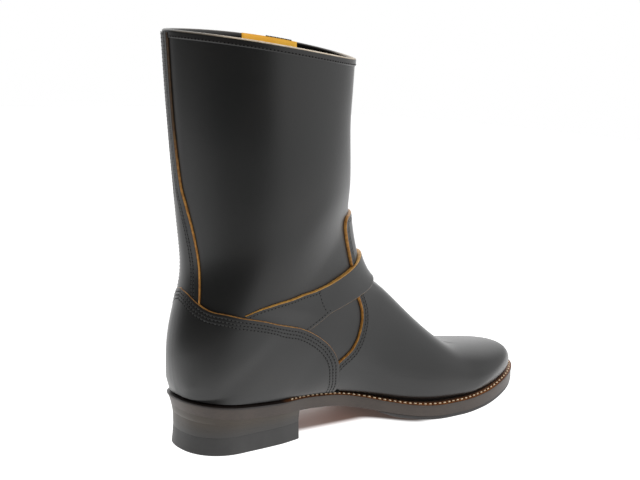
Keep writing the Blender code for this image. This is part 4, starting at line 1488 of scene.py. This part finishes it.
    def strap_seams(self, strap: Panel) -> list[Seam]:
        """Seams that hold each end of the strap: along both edges and across.

        Args:
            strap: The strap's panel.

        Returns:
            The seams.
        """
        along = np.linspace(-1, 1, len(strap.end))
        cross_low, cross_up = self.strap_cross
        seams = []
        for side in (-1, 1):
            held = side * along >= cross_up
            for at_end in (False, True):
                line, out = strap.seam(self.strap_seam, at_end)
                seams.append((line[held], out[held]))
            share = np.linspace(0.1, 0.9, 30)[:, None]
            low = self.strap_line(np.array([side * cross_low]), "low")
            up = self.strap_line(np.array([side * cross_up]), "up")
            u, q = (low + share * (up - low)).T
            seams.append((self.form.at(u, q, self.strap_height(u, q)), self.form.normal(u, q)))
        return seams

    def clear_of_welt(self, line: Array, out: Array) -> Seam:
        """The part of a seam that shows above the welt."""
        shown = line[:, 2] > self.form.sole.height(line[:, 0]) + self.welt_clear
        return line[shown], out[shown]


@dataclass
class Collar:
    """The rolled binding round the top of the shaft, its seam and the tan facing inside."""

    form: LastForm
    bench: Bench
    wall: float = 2.2
    leaf: float = 0.7
    depth: float = 4.5
    seam_depth: float = 3.3
    pitch: float = 2.6
    facing: float = 1.2
    facing_depth: float = 42.0
    facing_rise: float = 1.4
    facing_from: float = 0.272
    facing_to: float = 0.50
    facing_columns: int = 50
    facing_rows: int = 40
    facing_gap: float = 0.1
    facing_rounding: float = 0.6
    facing_seam: tuple[float, float] = (0.29, 0.40)
    points_round: int = 220
    roll_turns: int = 15
    roll_rise: float = 0.75
    roll_sink: float = 0.2
    light_from: float = 0.22
    light_to: float = 2.6
    light_soft: float = 0.15
    thread_lift: float = 0.02

    def frame(self, q: Array) -> tuple[Array, Array, Array]:
        """Points of the collar's edge, with directions out of the leather and up the leg.

        Args:
            q: Places round the collar.

        Returns:
            Points, outward directions and upward directions.
        """
        top = self.form.collar
        edge = self.form.at(top + 0 * q, q)
        up = unit(edge - self.form.at(top - 0.1 + 0 * q, q))
        return edge, unit(self.form.at(top + 0 * q, q, 1.0) - edge), up

    def profile(self) -> Profile:
        """The binding's section: out, up and how much of its light core shows.

        Returns:
            The section, from the lower edge outside to the lower edge inside.
        """
        middle, half = -self.wall / 2, self.wall / 2 + self.leaf
        points = [(0.05, -self.depth, 0.0), (0.5 * self.leaf, -self.depth, 0.0),
                  (self.leaf, -self.depth + 0.5, 0.0), (self.leaf, -self.depth + 0.9, 0.0),
                  (self.leaf, -1.0, 0.0)]
        for turn in np.linspace(0, np.pi, self.roll_turns):
            light = ease((turn - self.light_from) / self.light_soft)
            light = light * ease((self.light_to - turn) / self.light_soft)
            rise = self.roll_rise * half * math.sin(turn) - self.roll_sink
            points.append((middle + half * math.cos(turn), rise, float(light)))
        points += [(-self.wall - self.leaf, -1.0, 0.0), (-self.wall - self.leaf, -self.depth + 0.5, 0.0),
                   (-self.wall - 0.5 * self.leaf, -self.depth, 0.0), (-self.wall - 0.05, -self.depth, 0.0)]
        return points

    @staticmethod
    def painted_highlight_fade(edge: Array) -> Array:
        """Painted highlight and shade: how much of the light core shows round the collar, most at the middle
        of the inner side and less towards the back, the front and the outer side, as the light falls on the
        roll.

        Args:
            edge: Points round the collar.

        Returns:
            A share for each point.
        """
        back = 0.25 + 0.75 * ease((edge[:, 0] - 12.0) / 26.0)
        front = 1 - 0.35 * ease((edge[:, 0] - 95.0) / 35.0)
        return back * front * (0.1 + 0.9 * ease(0.5 - edge[:, 1] / 16.0))

    def binding(self) -> None:
        """The binding, folded over the edge of the shaft."""
        q = np.linspace(-1, 1, self.points_round + 1)[:-1]
        edge, out, up = self.frame(q)
        profile = self.profile()
        rings = [edge + d * out + h * up for d, h, _ in profile]
        # Painted highlight: the cream along the roll's top is partly a light edge and partly a highlight
        # painted in, fading round the collar.
        fade = self.painted_highlight_fade(edge)
        raw = [light * fade for _, _, light in profile]
        piece = self.bench.rings("collar_roll", rings, raw, capped=False)
        finish = BlackLeather("black_binding", core=(0.86, 0.74, 0.58), core_deep=(0.68, 0.54, 0.38),
                              face=(0.0056, 0.0050, 0.0047), face_warm=(0.0080, 0.0064, 0.0056),
                              core_rough=0.5)
        self.bench.keep(piece, Slot.BLACK, finish.material(), ["collar_binding"])
        seams = []
        for depth, way in ((0.0, out), (self.wall, -out)):
            line = edge + (depth + self.leaf + self.thread_lift) * way - self.seam_depth * up
            seams.append(tuple(np.concatenate([part, part[:1]]) for part in (line, way)))
        thread = Thread("collar_thread", (0.045, 0.042, 0.040), (0.018, 0.017, 0.016), 0.42)
        piece = Stitching(self.pitch).along(self.bench, "collar_stitches", seams)
        self.bench.keep(piece, Slot.BLACK, thread.material())

    def tan_facing(self) -> None:
        """The tan facing inside the collar on the outer side, coloured brighter than its leather and glowing
        as painted light, so that it reads as lit inside the collar's shade.
        """
        q = np.linspace(self.facing_from, self.facing_to, self.facing_columns)
        depth = np.linspace(self.facing_rise, -self.facing_depth, self.facing_rows)
        edge, out, up = self.frame(q)
        near = -self.wall - self.leaf - self.facing_gap
        inside = np.minimum(from_end(self.facing_columns)[:, None], from_end(self.facing_rows)[None, :])
        rounding = self.facing_rounding * self.facing * (1 - np.clip(inside / 2, 0, 1))
        grid = edge[:, None] + depth[None, :, None] * up[:, None]
        back = grid + near * out[:, None]
        front = grid + (near - self.facing + rounding)[..., None] * out[:, None]
        flat = 0 * rounding
        piece = self.bench.sheets("collar_facing", [(front, back, {Mark.RAW: (flat, flat)})])
        # Painted light: the facing's colours are brighter than its leather and it glows, standing for light
        # inside the shaded collar.
        finish = RawLeather("tan_facing", (0.98, 0.54, 0.070), (0.90, 0.44, 0.045), (0.5, 0.2, 0.03),
                            (0.4, 0.16, 0.03), glow=0.42)
        self.bench.keep(piece, Slot.TAN, finish.material(), ["collar_patch"])
        held = (q > self.facing_seam[0]) & (q < self.facing_seam[1])
        seam = (front[held, 0] + 0.3 * up[held], -out[held])
        thread = Thread("facing_thread", (0.022, 0.018, 0.015), (0.010, 0.008, 0.007))
        piece = Stitching(self.pitch).along(self.bench, "facing_stitches", [seam])
        self.bench.keep(piece, Slot.BLACK, thread.material())

    def build(self) -> None:
        """Make the binding, its seam and the facing."""
        self.binding()
        self.tan_facing()


@dataclass
class Sole:
    """Insole, welt with its seam, outsole, half sole and stacked heel."""

    shape: SoleShape
    bench: Bench
    stations: int = 110
    corner_turns: int = 5
    welt_inner_edge: float = 13.0
    welt_flat_edge: float = 6.0
    # The welt's top is marked raw next to the upper, so that it takes the dark edge colour as painted shade
    # in the crevice under the upper.
    welt_slope: Profile = ((4.2, 0.30, 0.8), (3.2, 0.47, 0.0))
    welt_rounding: float = 0.35
    insole: float = 3.5
    insole_edge: float = 10.2
    insole_roundings: tuple[float, float] = (0.6, 0.3)
    outsole_roundings: tuple[float, float] = (0.05, 0.08)
    skive_length: float = 12.0
    lifts: int = 3
    lift_rounding: float = 0.02
    lift_gap: float = 0.004
    lift_clear: float = 0.02
    lift_flush: float = 0.45
    welt_fall: float = 1.8
    seam_pitch: float = 4.1
    seam_start: float = 78.0
    seam_inset: float = 2.3
    edge: Colour = (0.053, 0.038, 0.029)
    edge_deep: Colour = (0.037, 0.026, 0.020)

    def corner(self, inset: float, height: float, rounding: float, top: bool) -> Profile:
        """A plate's rounded corner, in order down the edge, with its flat face not raw.

        Args:
            inset: Where the plate's edge is.
            height: Where its flat face is.
            rounding: The corner's radius.
            top: Whether it is the upper corner.

        Returns:
            The corner as (inset, height, rawness).
        """
        turns = np.linspace(0, np.pi / 2, self.corner_turns)
        rising, falling = rounding * (1 - np.cos(turns)), rounding * (1 - np.sin(turns))
        if top:
            return list(zip(inset + falling, height - rising, np.where(turns > turns[0], 1.0, 0.0)))
        return list(zip(inset + rising, height + falling, np.where(turns < turns[-1], 1.0, 0.0)))

    def plate(self, name: str, profile: Profile, height: Callable[[Array], Array], capped: bool = True,
              backs: Union[Callable[[float], float], None] = None) -> bpy.types.Object:
        """A plate of the sole, or a ring under its edge.

        Args:
            name: The piece's name.
            profile: Its edge as (inset, height, rawness) from top to bottom.
            height: The level that those heights start from, at each x.
            capped: Whether it is a plate, and not a ring.
            backs: The back's own inset at a height, if it has one.

        Returns:
            The new object.
        """
        rings = []
        for inset, rise, _ in profile:
            back = inset if backs is None else backs(rise)
            x = self.shape.stations(back, self.shape.length - inset, self.stations)
            rings.append(self.shape.loop(x, inset, height(x) + rise, back))
        return self.bench.rings(name, rings, [raw for _, _, raw in profile], capped)

    def insole_piece(self) -> None:
        """The insole."""
        top, bottom = self.insole_roundings
        profile = self.corner(self.insole_edge, self.insole, top, True)
        profile += self.corner(self.insole_edge, 0.0, bottom, False)
        piece = self.plate("insole_board", profile, self.shape.height)
        finish = RawLeather("insole_tan", (0.50, 0.34, 0.19), (0.40, 0.26, 0.14), (0.4, 0.26, 0.15),
                            (0.3, 0.2, 0.1), 0.7)
        self.bench.keep(piece, Slot.INSOLE, finish.material(), ["insole"])

    def welt_piece(self) -> None:
        """The welt, with its row of light stitches on top, and painted shade on its top: dark next to the
        upper, and dark behind the heel breast.
        """
        shape = self.shape
        top, bottom = -shape.seam, -shape.seam - shape.welt
        # Painted shade: the top next to the upper is marked raw for the dark edge colour, standing for the
        # shade in the crevice under the upper.
        section = [(self.welt_inner_edge, top, 1.0), (self.welt_flat_edge, top, 1.0),
                   *((inset, top - share * self.welt_fall, raw) for inset, share, raw in self.welt_slope)]
        section += self.corner(0.0, top - self.welt_fall, self.welt_rounding, True)
        section += [(0.0, bottom, 1.0), (self.welt_inner_edge, bottom, 1.0)]
        piece = self.plate("welt_strip", section, shape.height, capped=False)
        finish = RawLeather("welt_brown", (0.34, 0.115, 0.026), (0.20, 0.060, 0.014), self.edge,
                            # Painted shade: the welt's top turns almost black behind the heel breast, where
                            # it lies in shade.
                            self.edge_deep, 0.42, 0.38, heel_shade=(0.014, 0.009, 0.007))
        self.bench.keep(piece, Slot.WELT, finish.material(), ["welt"])
        x = shape.stations(2.0, shape.length - 2.0, 400)
        x = x[x > self.seam_start]
        level = shape.height(x) + top - self.welt_fall * (1 - self.seam_inset / self.welt_flat_edge)
        line = shape.loop(x, self.seam_inset, level)
        out = np.tile((0.0, 0.0, 1.0), (len(line), 1))
        thread = Thread("cream_thread", (0.98, 0.82, 0.60), (0.80, 0.58, 0.35))
        stitching = Stitching(self.seam_pitch, length=2.9, width=1.35, height=1.25, sink=0.0)
        piece = stitching.along(self.bench, "welt_stitches", [(line, out)])
        self.bench.keep(piece, Slot.TAN, thread.material())

    def outsole_piece(self) -> None:
        """The leather outsole, undercut behind."""
        shape = self.shape
        base = float(shape.under(0.0))
        top, bottom = self.outsole_roundings
        profile = self.corner(0.4 * shape.edge_step, shape.outsole + shape.seam - 0.02, top, True)
        profile += [(shape.edge_step, shape.outsole - 1.5, 1.0)]
        profile += self.corner(shape.edge_step, 0.0, bottom, False)
        piece = self.plate("outsole_leather", profile, shape.under,
                           backs=lambda rise: shape.heel_inset("back", base + rise))
        finish = RawLeather("sole_brown", (0.34, 0.13, 0.07), (0.26, 0.09, 0.05), self.edge, self.edge_deep,
                            0.5, 0.40)
        self.bench.keep(piece, Slot.SOLE, finish.material(), ["outsole"])

    def half_sole_piece(self) -> None:
        """The thin rubber half sole, skived at its rear edge."""
        shape = self.shape
        first, inset = shape.half_sole_start, 2 * shape.edge_step
        spread = np.sin(np.linspace(0, np.pi / 2, self.stations))
        rings = []
        for depth, extra in ((0.0, 0.0), (0.45, 0.0), (0.8, 0.05), (0.95, 0.2), (1.0, 0.5)):
            x = first + (shape.length - inset - extra - first) * spread
            skive = ease((x - first) / self.skive_length)
            thick = shape.half_sole_skive + (shape.half_sole - shape.half_sole_skive) * skive
            rings.append(shape.loop(x, inset + extra, shape.under(x) - shape.seam - depth * thick))
        piece = self.bench.rings("half_sole_rubber", rings, [1.0] * len(rings), capped=True)
        self.bench.keep(piece, Slot.RUBBER, Rubber("half_sole_black").material(), ["half_sole"])

    def heel_ring(self, level: float, extra: float, height: Callable[[Array], Array],
                  flush: float = 0.0) -> Array:
        """A loop round the heel.

        Args:
            level: Its height at the back.
            extra: How much it is set in for a rounded corner.
            height: Its height at each x.
            flush: How far its sides are let out.

        Returns:
            The loop's points.
        """
        side, back = (self.shape.heel_inset(edge, level) + extra for edge in ("side", "back"))
        x = self.shape.stations(back, self.shape.heel_length - extra, self.stations, False)
        return self.shape.loop(x, side - flush, height(x), back)

    def lift_ring(self, share: float, extra: float) -> Array:
        """A loop round the heel at a share of its height above the top piece.

        Args:
            share: The share of the height.
            extra: How much it is set in for a rounded corner.

        Returns:
            The loop's points.
        """
        floor = self.shape.top_piece + self.lift_clear

        def height(x: Array) -> Array:
            """Height of the loop at x."""
            return floor + share * (self.shape.under(x) - self.lift_clear - floor)

        return self.heel_ring(float(height(0.0)), extra, height, self.lift_flush * share**3)

    def heel_piece(self) -> None:
        """The stacked heel: leather lifts that share its wedge, and the rubber top piece."""
        finish = RawLeather("heel_brown", (0.10, 0.07, 0.05), (0.08, 0.05, 0.035), (0.041, 0.029, 0.0175),
                            (0.030, 0.021, 0.0125), 0.5, 0.40, layers=0.05, low_edge=(0.033, 0.031, 0.029))
        leather = finish.material()
        step = self.lift_rounding / 16.0
        for i in range(self.lifts):
            low, high = (i + self.lift_gap) / self.lifts, (i + 1) / self.lifts
            shares = [(high, self.lift_rounding), (high - step, 0.0), ((low + high) / 2, 0.0),
                      (low + step, 0.0), (low, self.lift_rounding)]
            rings = [self.lift_ring(share, extra) for share, extra in shares]
            name = "heel_lift_%d" % (i + 1)
            piece = self.bench.rings(name + "_leather", rings, [1.0] * len(rings), capped=True)
            self.bench.keep(piece, Slot.SOLE, leather, [name])
        top = self.shape.top_piece
        levels = ((top, 0.1), (top - 0.1, 0.0), (6.0, 0.0), (0.5, 0.0), (0.0, 0.5))
        rings = [self.heel_ring(level, extra, lambda x: level + 0 * x) for level, extra in levels]
        piece = self.bench.rings("heel_top_rubber", rings, [1.0] * len(rings), capped=True)
        rubber = Rubber("heel_rubber", (0.026, 0.025, 0.0245), (0.036, 0.035, 0.034))
        self.bench.keep(piece, Slot.RUBBER, rubber.material(), ["heel_top_piece"])

    def build(self) -> None:
        """Make every plate of the sole."""
        self.insole_piece()
        self.welt_piece()
        self.outsole_piece()
        self.half_sole_piece()
        self.heel_piece()


@dataclass
class Buckle:
    """The wire buckle, its prong and the keeper loop on the outer side of the strap."""

    upper: Upper
    bench: Bench
    at: float = 0.46
    wire: float = 1.7
    length: float = 26.0
    overhang: float = 0.17
    corner: float = 0.35
    prong_wire: float = 1.1
    prong_reach: float = 1.1
    keeper_after: float = 2.1
    keeper_overhang: float = 0.06
    keeper_width: float = 9.0
    keeper: float = 1.4
    keeper_edge: tuple[float, ...] = (0.9, 0.25, 0.05, 0.0, 0.0)
    keeper_columns: int = 40
    frame_points: int = 72
    prong_points: int = 25
    clear: float = 0.2
    prong_rest: float = 0.5
    prong_dip: float = 1.6
    weld: float = 1e-6

    def over(self, along: Array, across: Array, lift: Array) -> Array:
        """Points over the strap's face.

        Args:
            along: Places along the strap.
            across: Shares of its width, from low to up.
            lift: Heights over its face.

        Returns:
            The points.
        """
        low, up = self.upper.strap_line(along, "low"), self.upper.strap_line(along, "up")
        u, q = (low + across[..., None] * (up - low)).T
        return self.upper.form.at(u, q, self.upper.strap_height(u, q) + lift)

    def run(self) -> float:
        """Length of the strap's middle line on the outer side."""
        line = self.over(np.linspace(0, 1, 40), np.full(40, 0.5), 0.0)
        return float(run_along(line)[-1])

    def bent_wire(self, name: str, points: Array, radius: float, closed: bool) -> bpy.types.Object:
        """A round wire along points, made as a curve and turned into a mesh.

        Args:
            name: The piece's name.
            points: Its middle line in millimetres.
            radius: The wire's radius.
            closed: Whether it is a closed loop.

        Returns:
            The new object.
        """
        bpy.ops.object.select_all(action="DESELECT")
        curve = bpy.data.curves.new(name, "CURVE")
        curve.dimensions = "3D"
        curve.bevel_depth = radius * MM
        curve.bevel_resolution = 4
        curve.use_fill_caps = True
        spline = curve.splines.new("POLY")
        spline.points.add(len(points) - 1)
        places = points * MM + np.array(self.bench.shift)
        spline.points.foreach_set("co", np.column_stack([places, np.ones(len(points))]).ravel())
        spline.use_cyclic_u = closed
        wire = bpy.data.objects.new(name, curve)
        bpy.context.scene.collection.objects.link(wire)
        wire.select_set(True)
        bpy.context.view_layer.objects.active = wire
        bpy.ops.object.convert(target="MESH")
        bpy.ops.object.mode_set(mode="EDIT")
        bpy.ops.mesh.select_all(action="SELECT")
        bpy.ops.mesh.remove_doubles(threshold=self.weld)
        bpy.ops.mesh.normals_make_consistent(inside=False)
        bpy.ops.object.mode_set(mode="OBJECT")
        bpy.ops.object.shade_smooth_by_angle(angle=self.bench.sharp_angle)
        return bpy.context.object

    def metal(self) -> None:
        """The frame and the prong across it."""
        reach = self.length / 2 / self.run()
        turn = np.linspace(0, 2 * np.pi, self.frame_points, endpoint=False)
        along, across = (np.sign(side) * np.abs(side) ** self.corner for side in (np.cos(turn), np.sin(turn)))
        across = 0.5 + (0.5 + self.overhang) * across
        points = self.over(self.at + reach * along, across, self.wire + self.clear)
        frame = self.bent_wire("buckle_wire", points, self.wire, True)
        self.bench.keep(frame, Slot.NICKEL, Nickel("nickel_frame").material(), ["buckle_frame"])
        share = np.linspace(-self.prong_reach, self.prong_reach, self.prong_points)
        dip = self.prong_dip * ease(np.abs(share) - 0.1) * (np.abs(share) < 0.9)
        lift = 2 * self.wire + self.prong_wire + self.prong_rest - dip
        points = self.over(self.at + reach * share, 0.5 + 0 * share, lift)
        prong = self.bent_wire("buckle_pin", points, self.prong_wire, False)
        self.bench.keep(prong, Slot.NICKEL, Nickel("nickel_prong").material(), ["buckle_prong"])

    def loop(self) -> None:
        """The keeper loop that holds the strap's end."""
        rows = 2 * len(self.keeper_edge) - 1
        middle = self.at + self.keeper_after * self.length / 2 / self.run()
        band = middle + self.keeper_width / self.run() * np.linspace(-0.5, 0.5, rows)
        width = np.linspace(-self.keeper_overhang, 1 + self.keeper_overhang, self.keeper_columns)
        along, across = (grid.ravel() for grid in np.meshgrid(band, width, indexing="ij"))
        shape = (len(band), len(width), 3)
        edge = from_end(rows)
        drop = np.repeat(np.array(self.keeper_edge)[edge], len(width))
        front = self.over(along, across, self.keeper + 0.3 - drop).reshape(shape)
        back = self.over(along, across, 0.05).reshape(shape)
        flat = np.zeros(shape[:2])
        marks = {Mark.RAW: (flat + (edge == 0)[:, None], flat + 1)}
        piece = self.bench.sheets("strap_loop", [(front, back, marks)])
        self.bench.keep(piece, Slot.BLACK, BlackLeather("black_keeper").material(), ["strap_keeper"])

    def build(self) -> None:
        """Make the frame, the prong and the keeper."""
        self.metal()
        self.loop()


@dataclass(frozen=True)
class Glow:
    """A soft patch of the surround: where it is, how bright, and the cosines where it starts and is full."""

    towards: tuple[float, float, float]
    strength: float
    spread: tuple[float, float]

    def share(self, nodes: Nodes, towards: Value) -> Value:
        """How much of the patch a direction meets.

        Args:
            nodes: The world's nodes.
            towards: The direction looked in.

        Returns:
            The share, from 0 to 1.
        """
        facing = nodes.node("ShaderNodeVectorMath", dict(operation="DOT_PRODUCT"),
                            {0: towards, 1: Vector(self.towards).normalized()}, "Value")
        return facing.step(*self.spread)


@dataclass(frozen=True)
class Studio:
    """Pale floor, soft light and the photograph's camera."""

    shift: Vector
    image_width: int = 640
    sensor: float = 36.0
    azimuth: float = -33.25
    elevation: float = 11.75
    roll: float = 0.34
    distance: float = 1238.0
    focal_pixels: float = 1688.0
    target: tuple[float, float, float] = (122.3, 0.0, 138.7)
    floor_radius: float = 1.2
    floor_front: float = 0.45
    floor_base: float = 0.45
    floor_glow: float = 1.15
    floor_far: float = 0.56
    floor_fall: tuple[float, float] = (0.14, 0.30)
    # The floor's painted shadow under the waist: its dark reddish glow, and the bounds where it starts and
    # ends.
    painted_shadow_glow: Colour = (0.055, 0.038, 0.032)
    shade_back: tuple[float, float] = (-0.068, -0.056)
    shade_front: tuple[float, float] = (0.060, 0.080)
    shade_far: tuple[float, float] = (0.040, 0.060)
    shade_near: tuple[float, float] = (-0.0175, -0.0045)
    shade_bend: tuple[float, float, float] = (0.0035, 0.037, 0.815)
    surround: float = 0.82
    flag: Glow = Glow((-0.93, -0.30, 0.15), 0.10, (0.22, 0.68))
    sky: Glow = Glow((0.22, 0.72, 0.65), 0.75, (0.62, 0.97))
    rim: Glow = Glow((0.62, 0.78, -0.08), 0.5, (0.92, 0.995))
    fill: Glow = Glow((0.62, -0.72, 0.30), 0.38, (0.60, 0.97))

    def camera(self) -> None:
        """The camera at the photograph's viewing angle."""
        a, e, r = (math.radians(angle) for angle in (self.azimuth, self.elevation, self.roll))
        back = Vector((math.sin(a) * math.cos(e), -math.cos(a) * math.cos(e), math.sin(e)))
        right = Vector((math.cos(a), math.sin(a), 0.0))
        up = back.cross(right)
        right, up = right * math.cos(r) + up * math.sin(r), up * math.cos(r) - right * math.sin(r)
        data = bpy.data.cameras.new("photo_camera")
        data.sensor_width = self.sensor
        data.lens = self.focal_pixels * self.sensor / self.image_width
        data.clip_start, data.clip_end = 0.05, 50.0
        camera = bpy.data.objects.new("photo_camera", data)
        place = Vector(self.target) * MM + self.shift + back * self.distance * MM
        camera.matrix_world = Matrix.Translation(place) @ Matrix((right, up, back)).transposed().to_4x4()
        bpy.context.scene.collection.objects.link(camera)
        bpy.context.scene.camera = camera

    def floor(self) -> None:
        """A round pale floor that glows as painted light, brightest near the boot and dimmer far to the
        sides, with a painted shadow under the waist, where its glow drops to a dark reddish tint.
        """
        bpy.ops.object.select_all(action="DESELECT")
        bpy.ops.mesh.primitive_circle_add(vertices=128, radius=self.floor_radius, fill_type="NGON",
                                          location=(0, 0, 0))
        floor = bpy.context.object
        floor.name = "floor"
        bpy.ops.object.mode_set(mode="EDIT")
        bpy.ops.mesh.select_all(action="SELECT")
        bpy.ops.transform.translate(value=(0.0, self.floor_radius - self.floor_front, 0.0))
        bpy.ops.object.mode_set(mode="OBJECT")
        shader = Shader("pale_floor")
        shader.set(Base_Color=(self.floor_base,) * 3, Roughness=0.55 + 0.1 * shader.noise(30.0))
        x, y = shader.axis("X"), shader.axis("Y")
        # Painted shadow: the floor's glow is dimmed under the waist and along the forefoot's inner edge.
        start, reach, slope = self.shade_bend
        beyond = x.step(start, start + reach) * reach
        shade = (y + slope * beyond).step(*self.shade_near) * (1 - y.step(*self.shade_far))
        shade = shade * x.step(*self.shade_back) * (1 - x.step(*self.shade_front))
        far = shader.mix(abs(y).step(*self.floor_fall), (1.0, 1.0, 1.0), (self.floor_far,) * 3)
        shader.set(Emission_Color=shader.mix(shade, far, self.painted_shadow_glow), Emission_Strength=self.floor_glow)
        floor.data.materials.append(shader.material)

    def lights(self) -> None:
        """A white surround with brighter patches and a dark flag on the left, seen as plain white."""
        world = bpy.data.worlds.new("studio")
        bpy.context.scene.world = world
        world.use_nodes = True
        nodes = Nodes(world.node_tree)
        towards = nodes.node("ShaderNodeTexCoord", out="Generated")
        seen = nodes.node("ShaderNodeLightPath", out="Is Camera Ray")
        glow = self.surround - (self.surround - self.flag.strength) * self.flag.share(nodes, towards)
        for patch in (self.sky, self.rim, self.fill):
            glow = glow + patch.strength * patch.share(nodes, towards)
        background = world.node_tree.nodes["Background"]
        nodes.feed(background.inputs["Strength"], glow + (1.0 - glow) * seen)
        nodes.feed(background.inputs["Color"], (1.0, 1.0, 1.0))
        bpy.context.scene.view_settings.view_transform = "Standard"

    def build(self) -> None:
        """Set up camera, floor and light."""
        self.camera()
        self.floor()
        self.lights()


CREASES = (
    Crease((13.9, -0.62), (14.8, -0.25), 0.35, 9.0),
    Crease((15.2, -0.80), (16.0, -0.35), 0.35, 11.0),
    Crease((15.6, 0.20), (16.2, 0.70), 0.4, 12.0),
)


def main() -> None:
    """Load the frame, build every sub-assembly round it, and log how many pieces were made."""
    logging.basicConfig(level=logging.INFO, format="%(name)s: %(message)s")
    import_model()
    shape = SoleShape()
    low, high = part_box("welt")
    shift = Vector((low.x, high.y - shape.outer_reach() * MM, 0.0))
    bench = Bench(shift)
    Studio(shift).build()
    form = LastForm(shape, creases=CREASES)
    upper = Upper(form, bench)
    upper.build()
    Collar(form, bench).build()
    Sole(shape, bench).build()
    Buckle(upper, bench).build()
    LOG.info("%d pieces", len(bench.made))


if __name__ == "__main__":
    main()
